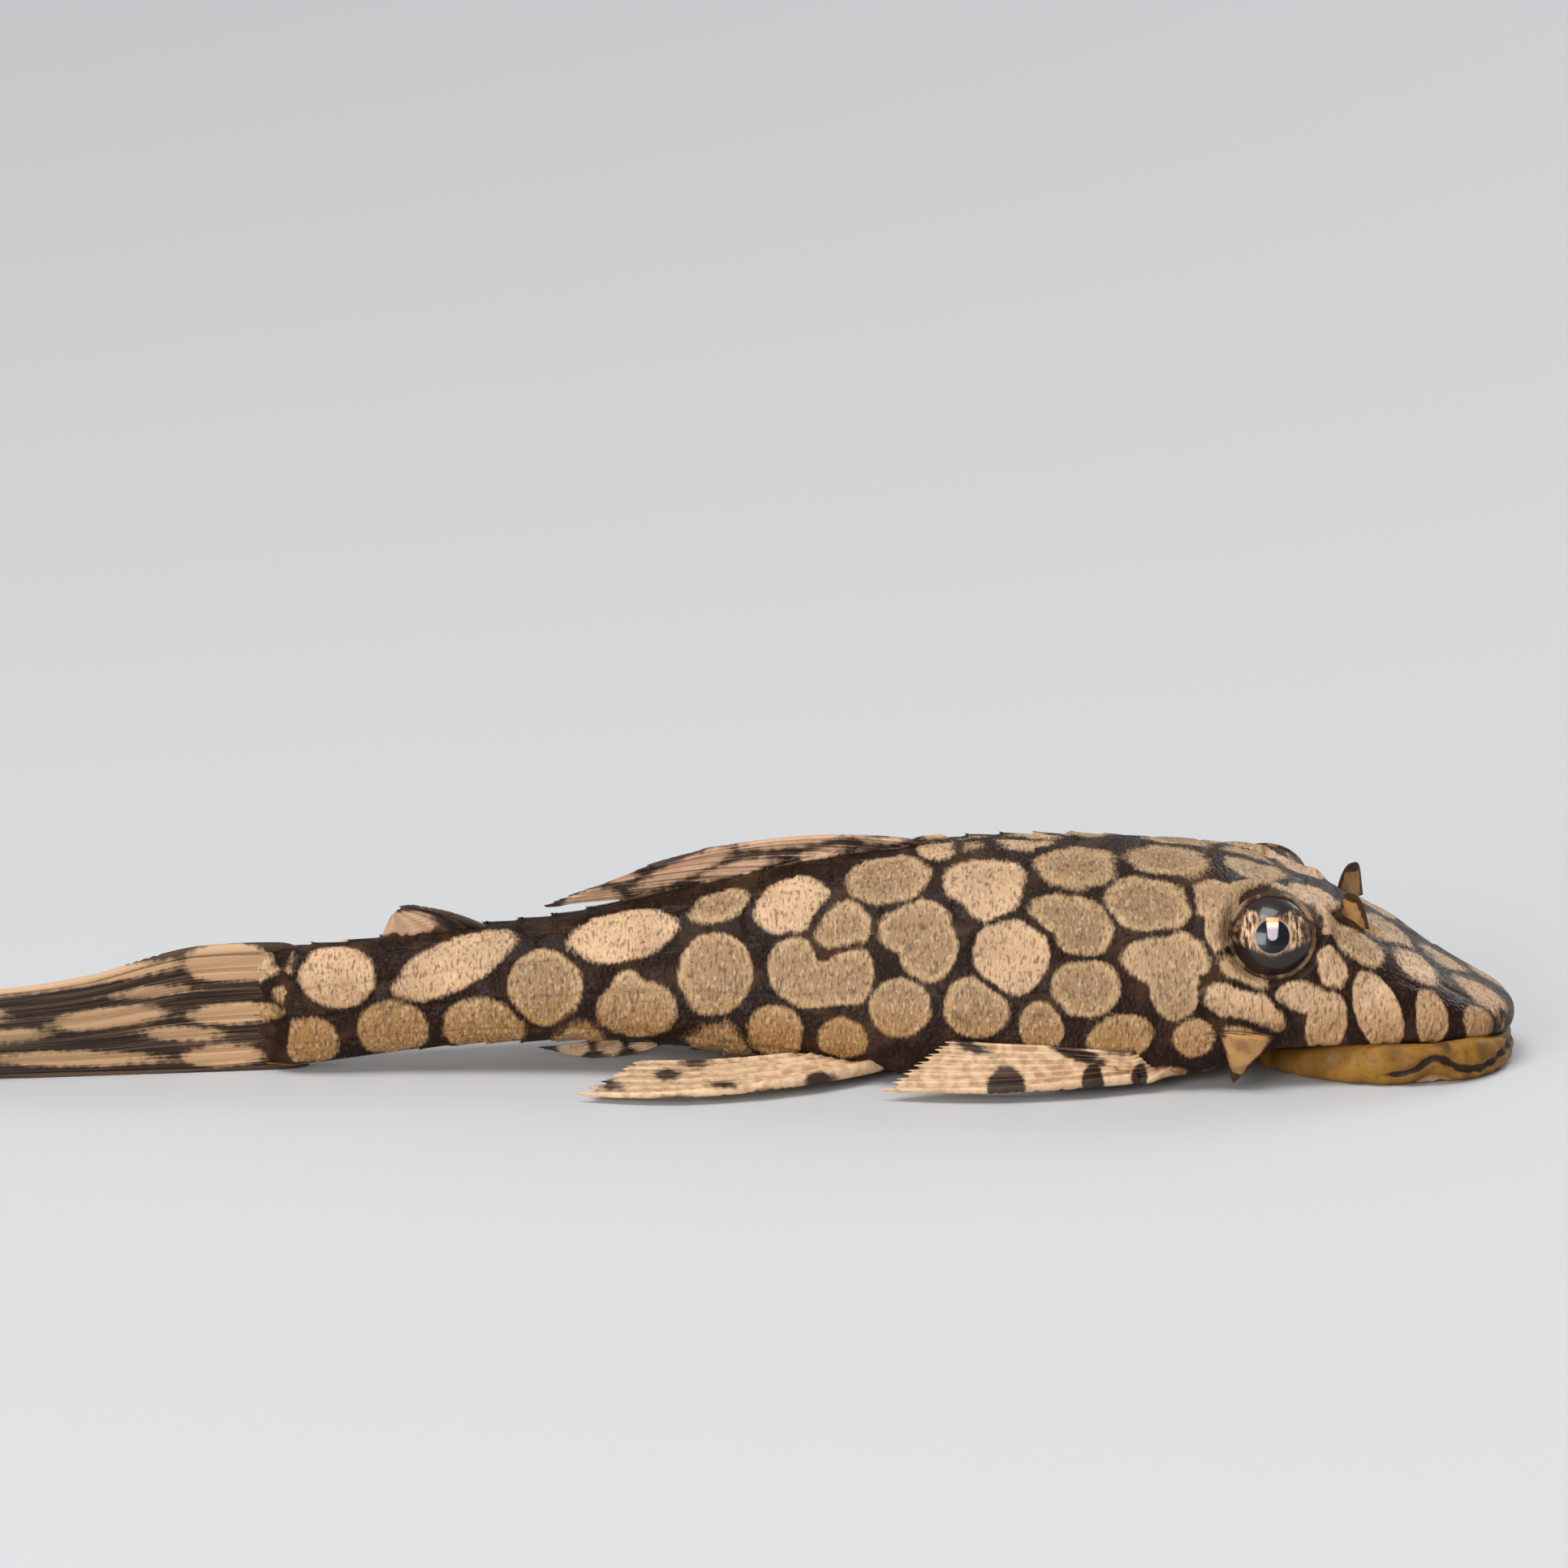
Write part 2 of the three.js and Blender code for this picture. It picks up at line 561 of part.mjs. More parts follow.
// A three.js mesh with sharp faces from a solid
function meshOf(shape, material, name) {
  const data = shape.getMesh();
  const geometry = new THREE.BufferGeometry();
  geometry.setAttribute("position", new THREE.BufferAttribute(new Float32Array(data.vertProperties), 3));
  geometry.setIndex(new THREE.BufferAttribute(new Uint32Array(data.triVerts), 1));
  geometry.computeVertexNormals();
  const mesh = new THREE.Mesh(geometry, material);
  mesh.name = name;
  return mesh;
}

const fish = new THREE.Group();
fish.add(meshOf(headSolid(), skin, "head"));
fish.add(meshOf(bodyBetween(trunkStations), skin, "trunk"));
fish.add(meshOf(bodyBetween(tailStations), skin, "tail"));
fish.add(meshOf(lipsSolid(), lipSkin, "lips"));
fish.add(meshOf(dorsalFin, finWeb, "dorsal_fin"));
fish.add(meshOf(adiposeFin, finWeb, "adipose_fin"));
fish.add(meshOf(analFin, finWeb, "anal_fin"));
fish.add(meshOf(caudalFin, finWeb, "caudal_fin"));
for (const [name, side] of [["right", -1], ["left", 1]]) {
  const eye = new THREE.Mesh(new THREE.IcosahedronGeometry(EYE.radius, EYE_DETAIL), eyeball);
  eye.name = `eye_${name}`;
  eye.position.copy(vector(EYE.station, side * eyeCentre.y, eyeCentre.z));
  fish.add(eye);
  for (const [fin, sizes] of [["pectoral_fin", PECTORAL], ["pelvic_fin", PELVIC]]) {
    fish.add(meshOf(pairedFin({ side, ...sizes }), finWeb, `${fin}_${name}`));
  }
}

export default fish;
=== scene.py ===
"""A young bristlenose pleco resting on the floor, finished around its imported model.

The fish faces +X, its left side is +Y and +Z is up. Stations run back from the tip of the snout,
in millimetres.
"""

import math

import bmesh
import bpy
import numpy as np
from mathutils import Matrix, Vector


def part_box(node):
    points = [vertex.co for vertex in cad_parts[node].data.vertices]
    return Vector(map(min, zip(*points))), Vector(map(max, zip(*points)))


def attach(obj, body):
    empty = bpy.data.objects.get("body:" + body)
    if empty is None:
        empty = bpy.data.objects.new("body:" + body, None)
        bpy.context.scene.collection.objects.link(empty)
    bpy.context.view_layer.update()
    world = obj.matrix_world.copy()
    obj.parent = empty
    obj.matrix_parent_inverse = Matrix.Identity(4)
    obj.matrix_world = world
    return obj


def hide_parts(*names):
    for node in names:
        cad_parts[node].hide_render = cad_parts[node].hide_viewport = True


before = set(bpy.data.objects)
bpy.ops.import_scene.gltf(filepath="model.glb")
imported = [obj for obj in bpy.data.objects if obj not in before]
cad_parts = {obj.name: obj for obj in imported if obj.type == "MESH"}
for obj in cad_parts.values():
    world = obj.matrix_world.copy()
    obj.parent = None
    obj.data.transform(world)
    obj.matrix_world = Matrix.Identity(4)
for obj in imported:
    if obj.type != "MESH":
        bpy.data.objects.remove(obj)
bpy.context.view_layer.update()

# Body skin. One unbroken skin covers the head, the trunk and the tail, over bony plates in five rows a side.
# It is damp, tan in round blotches on a blackish-brown net, and rough with tiny teeth.
MM = 0.001
SIDES = {"right": -1, "left": 1}
SNOUT_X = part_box("head")[1].x / MM
PEDUNCLE_END = SNOUT_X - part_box("tail")[0].x / MM
THINNING_START = PEDUNCLE_END - 0.6
SKIN_END = PEDUNCLE_END + 1.3
BACK = [
    (0, 2.35), (0.9, 2.85), (2.3, 3.6), (3.6, 4.45), (5.5, 5.75), (8, 7.0), (10.1, 7.85), (12.2, 8.45),
    (15.4, 8.75), (19, 8.85), (22.5, 8.8), (28.6, 8.05), (32, 7.35), (35.2, 6.7), (38.5, 5.95), (42, 5.6),
    (47.5, 5.1), (50, 5.0),
]
BELLY = [
    (0, 1.15), (10.4, 1.25), (12.6, 0.15), (14, -0.12), (27, -0.12), (31, 0.35), (35, 0.95), (40, 1.0),
    (44, 0.75), (48, 0.3), (50, 0.1),
]
HALF_WIDTH = [
    (0, 5.3), (5, 5.75), (9, 6.35), (13, 7), (16, 7.2), (20, 6.95), (25, 6.1), (30, 4.95), (35, 3.75),
    (40, 2.8), (45, 2.0), (48.5, 1.62), (50, 1.25), (51.3, 0.45),
]
WIDEST_HEIGHT = [(0, 2.0), (14, 2.1), (30, 2.4), (40, 2.9), (50, 2.6)]
UPPER_POWER = [(0, 2.1), (10, 2.6), (16, 2.2), (24, 1.95), (36, 1.95), (50, 2.3)]
LOWER_POWER = [(0, 3.2), (14, 3), (30, 2.6), (50, 2.3)]
SNOUT_MIDDLE = 1.9
SNOUT_ROUND_WIDE = 6
SNOUT_ROUND_TALL = 0.7
SNOUT_POWER = 2.35
BEND_START = 26
BEND_SIDE = -2.8
BEND_REACH = 24
BEND_POWER = 1.4
SKIN_RINGS = 390
SKIN_AROUND = 250
RING_CROWDING = 1.25
FLANK_SHARE = 0.8
FLANK_ANGLE_SHARE = 0.86
SECTION_SAMPLES = 240


def through(points, station):
    """A smooth curve through a few (station, size) points."""
    x, y = np.array(points, float).T
    places = np.arange(len(x))
    before, after = np.maximum(places - 1, 0), np.minimum(places + 1, places[-1])
    slope = (y[after] - y[before]) / (x[after] - x[before])
    station = np.clip(station, x[0], x[-1])
    i = np.clip(np.searchsorted(x, station, side="right") - 1, 0, len(x) - 2)
    span = x[i + 1] - x[i]
    t = (station - x[i]) / span
    start = (2 * t**3 - 3 * t**2 + 1) * y[i] + (t**3 - 2 * t**2 + t) * span * slope[i]
    return start + (3 * t**2 - 2 * t**3) * y[i + 1] + (t**3 - t**2) * span * slope[i + 1]


def rounding(share, power=2.0):
    """The quarter round that a blunt end follows, from 0 at its tip to 1."""
    return (1 - (1 - np.clip(share, 0, 1)) ** power) ** (1 / power)


def ease(value, low, high):
    """0 below low, 1 above high, and smooth between them."""
    t = np.clip((value - low) / (high - low), 0, 1)
    return t * t * (3 - 2 * t)


def ridge_at(line, station):
    """Height of the middle of the back or the belly, drawn in to the round snout."""
    return SNOUT_MIDDLE + (through(line, station) - SNOUT_MIDDLE) * rounding(station / SNOUT_ROUND_TALL)


def half_width_at(station):
    """Half width of the body where it is widest, drawn in to the round snout."""
    return through(HALF_WIDTH, station) * rounding(station / SNOUT_ROUND_WIDE, SNOUT_POWER)


def bend_at(station):
    """How far the tail has swung to the side."""
    return BEND_SIDE * (np.maximum(station - BEND_START, 0) / BEND_REACH) ** BEND_POWER


def section_at(station, middle, above):
    """How round a cross section is and how far it reaches from its middle, in its upper or its lower half."""
    power = np.where(above, through(UPPER_POWER, station), through(LOWER_POWER, station))
    return power, np.where(above, ridge_at(BACK, station) - middle, middle - ridge_at(BELLY, station))


def flank_at(station, height):
    """Half width of the body at a station and a height."""
    middle = through(WIDEST_HEIGHT, station)
    power, reach = section_at(station, middle, height > middle)
    share = np.clip(np.abs(height - middle) / reach, 0, 1)
    return half_width_at(station) * (1 - share**power) ** (1 / power)


def skin_top(station, side):
    """Height of the upper skin at a station and a distance from the middle."""
    middle = through(WIDEST_HEIGHT, station)
    power = through(UPPER_POWER, station)
    share = np.clip(np.abs(side) / half_width_at(station), 0, 1)
    return middle + (ridge_at(BACK, station) - middle) * (1 - share**power) ** (1 / power)


def half_section(station, shares):
    """Half widths and heights down one flank, from the ridge of the back (share 0) to mid belly (share 1)."""
    angle = math.pi * (0.5 - np.linspace(0, 1, SECTION_SAMPLES + 1))
    opened = min(station / SNOUT_ROUND_TALL, 1)
    centre = SNOUT_MIDDLE + (through(WIDEST_HEIGHT, station) - SNOUT_MIDDLE) * opened
    power, reach = section_at(station, centre, angle > 0)
    thin_end = 1 - ease(station, THINNING_START, SKIN_END)
    y = half_width_at(station) * thin_end * np.abs(np.cos(angle)) ** (2 / power)
    z = centre + np.sign(np.sin(angle)) * reach * np.abs(np.sin(angle)) ** (2 / power)
    run = np.concatenate([[0], np.cumsum(np.hypot(np.diff(y), np.diff(z)))])
    flank_end = run[int(SECTION_SAMPLES * FLANK_ANGLE_SHARE)]
    on_flank = flank_end * shares / FLANK_SHARE
    on_belly = flank_end + (run[-1] - flank_end) * (shares - FLANK_SHARE) / (1 - FLANK_SHARE)
    want = np.where(shares < FLANK_SHARE, on_flank, on_belly)
    return np.interp(want, run, y), np.interp(want, run, z)


skin_stations = SKIN_END * np.linspace(0, 1, SKIN_RINGS + 1) ** RING_CROWDING
round_share = np.linspace(-1, 1, SKIN_AROUND + 1)
skin_share = np.abs(round_share)
skin_side = np.sign(round_share)
skin_points = np.zeros((SKIN_RINGS + 1, SKIN_AROUND + 1, 3))
for row, station in enumerate(skin_stations):
    half, height = half_section(station, skin_share)
    skin_points[row, :, 0] = SNOUT_X - station
    skin_points[row, :, 1] = skin_side * half + bend_at(station)
    skin_points[row, :, 2] = height


def grid_normals(points):
    """Outward directions of a grid of points, by its own two directions."""
    along = np.gradient(points, axis=0)
    round_way = np.gradient(points, axis=1)
    normals = np.cross(along, round_way)
    length = np.linalg.norm(normals, axis=2, keepdims=True)
    return normals / np.maximum(length, 1e-9)


skin_normals = grid_normals(skin_points)
if skin_normals[SKIN_RINGS // 2, SKIN_AROUND // 2, 2] < 0:
    skin_normals = -skin_normals
STATION = skin_stations[:, None] + 0 * skin_share[None, :]
SHARE = skin_share[None, :] + 0 * skin_stations[:, None]

# Five rows of plates on each flank, each plate lapping over the next with a curved rear edge
PLATE_START = 16.4
PLATE_COUNT = 24
PLATE_LENGTH = (PEDUNCLE_END - PLATE_START) / PLATE_COUNT
PLATE_ROWS = 5
PLATE_RAISE = 0.14
PLATE_STAGGER = 0.5
PLATE_BULGE = 0.32


def edge_setback(row, across):
    """How far back a plate's rear edge lies, in plate lengths, from its row and the place across it."""
    return PLATE_STAGGER * (row % 2) + PLATE_BULGE * (1 - 4 * (across - 0.5) ** 2)


row_place = np.minimum(SHARE, FLANK_SHARE - 1e-6) / FLANK_SHARE * PLATE_ROWS
row_number = np.floor(row_place)
row_across = row_place - row_number
plate_place = (STATION - PLATE_START) / PLATE_LENGTH - edge_setback(row_number, row_across)
plate_along = plate_place - np.floor(plate_place)
plate_height = (0.2 + 0.8 * plate_along) * (1 - ease(plate_along, 0.9, 1.0))
row_groove = ease(row_across, 0, 0.1) * ease(1 - row_across, 0, 0.1)
on_flank = ease(STATION, PLATE_START - 1.5, PLATE_START + 1.5) * (1 - ease(SHARE, 0.76, 0.82))
plates = PLATE_RAISE * plate_height * row_groove * on_flank * (0.35 + 0.65 * ease(SHARE, 0.0, 0.12))

# Larger plates roof the head, parted by fine seams
HEAD_PLATES = 46
HEAD_END = 17
HEAD_HALF_GIRTH = 9.5
HEAD_PLATES_DOWN_TO = 8.2
SEAM_DEPTH = 0.06
head_rng = np.random.default_rng(11)
seed_stations = head_rng.uniform(0.5, HEAD_END, HEAD_PLATES)
seed_runs = head_rng.uniform(0, HEAD_PLATES_DOWN_TO, HEAD_PLATES)
nearest = np.full(STATION.shape, 99.0)
second = np.full(STATION.shape, 99.0)
for seed_station, seed_run in zip(seed_stations, seed_runs):
    away = np.hypot(STATION - seed_station, SHARE * HEAD_HALF_GIRTH - seed_run)
    second = np.where(away < nearest, nearest, np.minimum(second, away))
    nearest = np.minimum(nearest, away)
on_head = (1 - ease(STATION, HEAD_END - 2, HEAD_END)) * ease(STATION, 1.2, 2.4) * (1 - ease(SHARE, 0.7, 0.78))
head_seams = -SEAM_DEPTH * (1 - ease(second - nearest, 0.02, 0.32)) * on_head

# The eyes' places come from the model: a rim stands up round each eye and the skin dips in to meet it
LID_TILT = math.radians(21)
LID_RADIUS = 1.68
LID_DIP = 0.45
ORBIT_RADIUS = 2.3
ORBIT_RIM = 0.3
ORBIT_RAISE = 0.36
ORBIT_EDGE = 2.15
ORBIT_BACK = -0.6


def round_eye(points, centre, outward):
    """How far points stand out along an eye's axis, and how far they lie from that axis."""
    from_eye = points - centre
    outness = from_eye @ outward
    return outness, np.linalg.norm(from_eye - outness[..., None] * outward, axis=2)


eye_places = {}
orbit_raise = np.zeros(STATION.shape)
for side_name, side in SIDES.items():
    low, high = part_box(f"eye_{side_name}")
    centre = np.array((low + high) / 2) / MM
    radius = (high.x - low.x) / 2 / MM
    outward = np.array([0, side * math.cos(LID_TILT), math.sin(LID_TILT)])
    eye_places[side_name] = (centre, radius, outward)
    outness, off_axis = round_eye(skin_points, centre, outward)
    brow = 0.55 + 0.45 * np.clip((skin_points[..., 2] - centre[2]) / 1.6, -1, 1)
    rim = ORBIT_RAISE * np.exp(-(((off_axis - ORBIT_RADIUS) / ORBIT_RIM) ** 2))
    orbit_raise += (outness > ORBIT_BACK) * brow * rim

# Nostrils: a shallow pit before and behind each upright flap
NOSTRIL_STATION = 6.65
NOSTRIL_SIDE = 2.5
PIT_STEPS = (-0.75, 0.7)
PIT_DEPTH = 0.42
PIT_RADIUS = 0.38
nostril_pits = np.zeros(STATION.shape)
for side in SIDES.values():
    for step in PIT_STEPS:
        pit = np.array([SNOUT_X - NOSTRIL_STATION - step, side * NOSTRIL_SIDE, 0])
        pit[2] = skin_top(NOSTRIL_STATION + step, NOSTRIL_SIDE)
        away = np.linalg.norm(skin_points - pit, axis=2)
        nostril_pits -= PIT_DEPTH * np.exp(-((away / PIT_RADIUS) ** 2))

relief = plates + head_seams + orbit_raise + nostril_pits
skin_shape = skin_points + skin_normals * relief[..., None]
for centre, radius, outward in eye_places.values():
    outness, off_axis = round_eye(skin_shape, centre, outward)
    lid_out = math.sqrt(radius**2 - LID_RADIUS**2)
    wanted = lid_out + (outness - lid_out) * ease(off_axis, LID_RADIUS, ORBIT_EDGE)
    wanted -= LID_DIP * ease(LID_RADIUS - off_axis, 0, 0.16)
    in_orbit = (outness > ORBIT_BACK) & (off_axis < ORBIT_EDGE)
    skin_shape += np.where(in_orbit, wanted - outness, 0)[..., None] * outward
skin_shape[..., 2] = np.maximum(skin_shape[..., 2], 0)

# Blotches of the flank, as the right side shows them: how pale each is, then its ovals, which run together,
# as station, height on the picture, half length, half height and tilt, in millimetres and degrees
PICTURE_TILT = math.radians(12.5)
TOWARDS_VIEW = np.array([0, -math.cos(PICTURE_TILT), math.sin(PICTURE_TILT)])
PICTURE_UP = np.array([0, math.sin(PICTURE_TILT), math.cos(PICTURE_TILT)])
FLANK_BLOTCHES = [
    # along the ridge of the back
    (0.8, (23.5, 8.3, 0.7, 0.42, 0)),
    (0.8, (22.0, 8.37, 0.6, 0.26, 0)),
    (0.8, (20.1, 8.46, 1.12, 0.3, 0)),
    (0.3, (17.9, 7.66, 1.62, 0.82, 0)),
    (0.3, (14.1, 7.87, 1.6, 0.6, 0)),
    (0.3, (10.7, 7.55, 1.2, 0.55, -12)),
    # upper flank
    (0.3, (25.4, 7.05, 1.7, 0.97, 0)),
    (0.9, (21.6, 7.05, 1.65, 0.94, 0), (21.3, 6.45, 1.15, 0.95, 0)),
    (0.2, (15.0, 6.23, 1.68, 1.18, -10)),
    (1.0, (29.4, 6.06, 1.58, 1.05, 30)),
    (0.3, (32.3, 5.95, 1.25, 0.58, 22)),
    (1.0, (36.3, 4.84, 2.2, 0.95, 8)),
    (1.0, (42.9, 3.69, 2.62, 0.98, 28)),
    (0.4, (12.4, 6.35, 0.95, 0.78, 20), (12.2, 5.3, 0.5, 1.15, -8)),
    # middle of the flank
    (0.2, (18.4, 5.6, 1.45, 0.75, -14), (17.6, 4.95, 1.15, 1.08, 0)),
    (0.8, (20.6, 4.02, 1.5, 1.6, 0)),
    (0.3, (24.4, 5.15, 1.45, 1.02, 12), (23.9, 4.25, 1.22, 1.32, 0)),
    (0.3, (27.3, 5.17, 1.2, 1.05, 0)),
    (0.35, (29.3, 3.55, 1.02, 1.25, 0), (28.4, 2.85, 1.8, 0.95, 0), (27.1, 3.2, 1.02, 1.22, 0)),
    (0.3, (32.5, 3.3, 1.52, 1.58, 0), (32.7, 2.6, 1.1, 1.15, 0)),
    (0.3, (17.6, 2.7, 1.4, 1.18, 0)),
    (0.5, (14.3, 3.95, 1.75, 1.05, 0), (14.0, 2.8, 0.98, 1.35, 0)),
    (0.3, (39.4, 2.7, 1.5, 1.5, 0)),
    (1.0, (47.8, 3.19, 1.54, 1.22, 0)),
    # lower flank
    (0.3, (25.1, 1.88, 1.28, 1.18, 0)),
    (0.3, (21.9, 1.85, 1.35, 1.22, -20)),
    (0.3, (19.4, 1.22, 0.86, 1.02, -10)),
    (0.4, (16.1, 0.72, 1.28, 0.88, 12)),
    (0.8, (13.2, 0.63, 0.82, 0.74, 0)),
    (0.4, (35.7, 1.8, 1.58, 1.18, 0), (35.9, 2.4, 0.8, 1.0, 0)),
    (0.3, (30.1, 0.78, 1.15, 1.19, -15)),
    (0.3, (27.3, 0.63, 0.99, 0.82, 0)),
    (0.4, (41.9, 1.05, 1.68, 0.95, -6)),
    (0.4, (45.6, 0.96, 1.45, 1.1, 0)),
    (0.4, (49.1, 0.49, 1.4, 0.95, 0)),
    (0.3, (38.0, 0.46, 1.12, 0.55, 0)),
    (0.3, (32.3, 0.35, 1.3, 0.42, -10)),
    # cheek and snout
    (1.0, (11.1, 1.88, 1.75, 0.74, -25)),
    (0.8, (8.9, 2.32, 1.0, 0.62, -12), (7.85, 1.25, 0.84, 1.32, -8)),
    (1.0, (5.75, 1.75, 0.92, 1.72, 20)),
    (0.9, (3.5, 1.55, 0.72, 1.2, 6)),
    (1.0, (1.6, 1.25, 0.8, 0.72, 0)),
    (0.9, (7.6, 3.45, 0.66, 0.82, 15)),
    (1.0, (4.15, 3.62, 1.05, 0.5, -28)),
    (0.9, (1.35, 2.42, 1.25, 0.4, -22)),
    (0.5, (0.5, 1.32, 0.2, 0.42, 0)),
    (1.0, (8.3, 6.42, 0.98, 0.52, -38)),
    (0.4, (6.55, 4.45, 1.2, 0.55, -28)),
    (0.4, (5.2, 5.02, 1.05, 0.45, -32)),
    (0.5, (2.87, 3.82, 1.0, 0.4, -32)),
    (0.3, (11.3, 3.32, 1.0, 0.48, -28)),
    (0.5, (11.1, 0.75, 0.95, 0.7, -25)),
    # root of the tail fin
    (0.6, (51.6, 3.65, 1.85, 0.85, 2)),
    (0.6, (51.8, 1.61, 1.5, 0.42, 3)),
]
LEAST_FACING = 0.36
facing = skin_normals @ TOWARDS_VIEW
picture_height = skin_points @ PICTURE_UP
right_side = (round_share < 0)[None, :] & (facing > 0.04)


def blotch_axes(row, column, half_length, half_height, tilt, seen):
    """Centre, long axis, short axis and outward direction of a blotch that lies on the skin."""
    outward = skin_normals[row, column]
    tailward = np.array([-1.0, 0, 0])
    tailward -= outward * (tailward @ outward)
    tailward /= np.linalg.norm(tailward)
    upward = np.cross(outward, tailward)
    upward *= -1 if upward[2] < 0 else 1
    stretch = 1 / max(abs(upward @ PICTURE_UP), LEAST_FACING) if seen else 1
    turn = math.radians(tilt)
    long_axis = -math.cos(turn) * tailward + math.sin(turn) * upward
    short_axis = math.sin(turn) * tailward + math.cos(turn) * upward
    centre = skin_points[row, column]
    return centre, long_axis / half_length, short_axis / (half_height * stretch), outward, half_height


def blotch_field(group):
    """Depth inside the nearest edge of a group of joined blotches, in millimetres, negative outside them."""
    field = np.full(STATION.shape, -99.0)
    for centre, long_axis, short_axis, outward, half_height in group:
        offset = skin_points - centre
        along, up, off = offset @ long_axis, offset @ short_axis, 0.6 * (offset @ outward)
        field = np.maximum(field, (1 - np.sqrt(along**2 + up**2 + off**2)) * half_height)
    return field


best = np.full(STATION.shape, -99.0)
runner_up = np.full(STATION.shape, -99.0)
tone = np.zeros(STATION.shape)


def add_group(paleness, group):
    """Adds a group of blotches to the pattern."""
    global best, runner_up, tone
    field = blotch_field(group)
    tone = np.where(field > best, paleness, tone)
    runner_up = np.where(field > best, best, np.maximum(runner_up, field))
    best = np.maximum(best, field)


pattern_rng = np.random.default_rng(5)
mirrored = []
for paleness, *group in FLANK_BLOTCHES:
    placed = []
    other = []
    shift = pattern_rng.uniform(-0.7, 0.7)
    grow = pattern_rng.uniform(0.88, 1.08)
    for station, height, half_length, half_height, tilt in group:
        miss = (STATION - station) ** 2 + (picture_height - height) ** 2 + 99 * (~right_side)
        row, column = np.unravel_index(np.argmin(miss), miss.shape)
        placed.append(blotch_axes(row, column, half_length, half_height, tilt, True))
        row = int(np.argmin(np.abs(skin_stations - station - shift)))
        shape = half_length * grow, half_height * grow, -tilt + 20 * shift
        other.append(blotch_axes(row, SKIN_AROUND - column, *shape, True))
    add_group(paleness, placed)
    mirrored.append((paleness, other))
for paleness, other in mirrored:
    if np.linalg.norm(skin_points - other[0][0], axis=2)[best > -0.2].min() > 0.3:
        add_group(paleness, other)

# Where the picture doesn't reach, more blotches fill the free skin the same way
FREE_TRIES = 5000
FREE_ROOM = 1.2
EYE_CLEAR = 3.0
LARGEST_BLOTCH = 1.35
BLOTCH_GAP = 0.28
free_rows = pattern_rng.integers(8, SKIN_RINGS - 14, FREE_TRIES)
free_columns = pattern_rng.integers(0, SKIN_AROUND, FREE_TRIES)
for row, column in zip(free_rows, free_columns):
    room = -best[row, column]
    near_eye = min(np.linalg.norm(skin_points[row, column] - place[0]) for place in eye_places.values())
    if room > FREE_ROOM and skin_share[column] < FLANK_SHARE and near_eye > EYE_CLEAR:
        size = min(room - BLOTCH_GAP, LARGEST_BLOTCH) * pattern_rng.uniform(0.9, 1.0)
        longer = pattern_rng.uniform(1.0, 1.3)
        tilt = pattern_rng.uniform(-40, 40)
        paleness = pattern_rng.uniform(0.2, 0.9)
        add_group(paleness, [blotch_axes(row, column, size * longer, size, tilt, False)])
NET_WIDTH = 0.30
EYE_RIM_RADIUS = 2.42
EYE_RIM_WIDTH = 0.30
blotches = np.minimum(best, (best - runner_up - NET_WIDTH) / 2)
for centre, radius, outward in eye_places.values():
    rim = EYE_RIM_WIDTH - np.abs(np.linalg.norm(skin_points - centre, axis=2) - EYE_RIM_RADIUS)
    over = ease((skin_points - centre)[..., 2], -0.4, 0.8)
    blotches = np.where(over > 0.5, np.maximum(blotches, rim), blotches)

# At the end of the tail the skin carries the start of the tail fin's streaks
FIN_BASE = 49.5, 50.0
FIN_BASE_TONE = 0.55
CAUDAL_PATCHES = [
    (52.2, 3.7, 1.75, 0.8, 2), (51.0, 3.25, 0.9, 0.32, 8), (57.6, 3.1, 4.0, 0.3, 9),
    (61.5, 2.72, 2.8, 0.36, 2), (55.3, 2.5, 1.5, 0.2, 6), (57.0, 1.45, 2.3, 0.42, 6),
    (52.1, 1.61, 1.8, 0.42, 3), (54.0, 0.8, 1.6, 0.28, 0), (52.4, -0.1, 1.6, 0.45, 3),
    (58.4, -0.2, 3.2, 0.32, 0), (62.6, 1.5, 1.5, 0.3, 3), (60.9, 0.75, 1.4, 0.26, 2),
    (63.3, 0.3, 1.0, 0.3, 0), (49.8, 2.45, 0.5, 0.35, 0),
]


def picture_patches(points, patches, mirror=1):
    """Depth inside the nearest of a few ovals given as the flank blotches are, in millimetres."""
    station = SNOUT_X - points[..., 0]
    height = points[..., 1] * mirror * PICTURE_UP[1] + points[..., 2] * PICTURE_UP[2]
    field = np.full(station.shape, -9.0)
    for at_station, at_height, half_length, half_height, tilt in patches:
        turn = math.radians(tilt)
        forward = at_station - station
        up = height - at_height
        along = (forward * math.cos(turn) + up * math.sin(turn)) / half_length
        across = (-forward * math.sin(turn) + up * math.cos(turn)) / half_height
        field = np.maximum(field, (1 - np.hypot(along, across)) * half_height)
    return field


on_fin_base = ease(STATION, *FIN_BASE)
blotches += (picture_patches(skin_points, CAUDAL_PATCHES) - blotches) * on_fin_base
tone += (FIN_BASE_TONE - tone) * on_fin_base

# The belly's own colour reaches highest on the chest, behind the sucker, and fades out towards the snout
CHEST_STATION = 12.4
CHEST_LENGTH = 1.5
CHEST_RISE = 0.13
belly_edge = FLANK_SHARE - CHEST_RISE * np.exp(-(((STATION - CHEST_STATION) / CHEST_LENGTH) ** 2))
belly = ease(SHARE, belly_edge, belly_edge + 0.08) * ease(STATION, 2, 6)


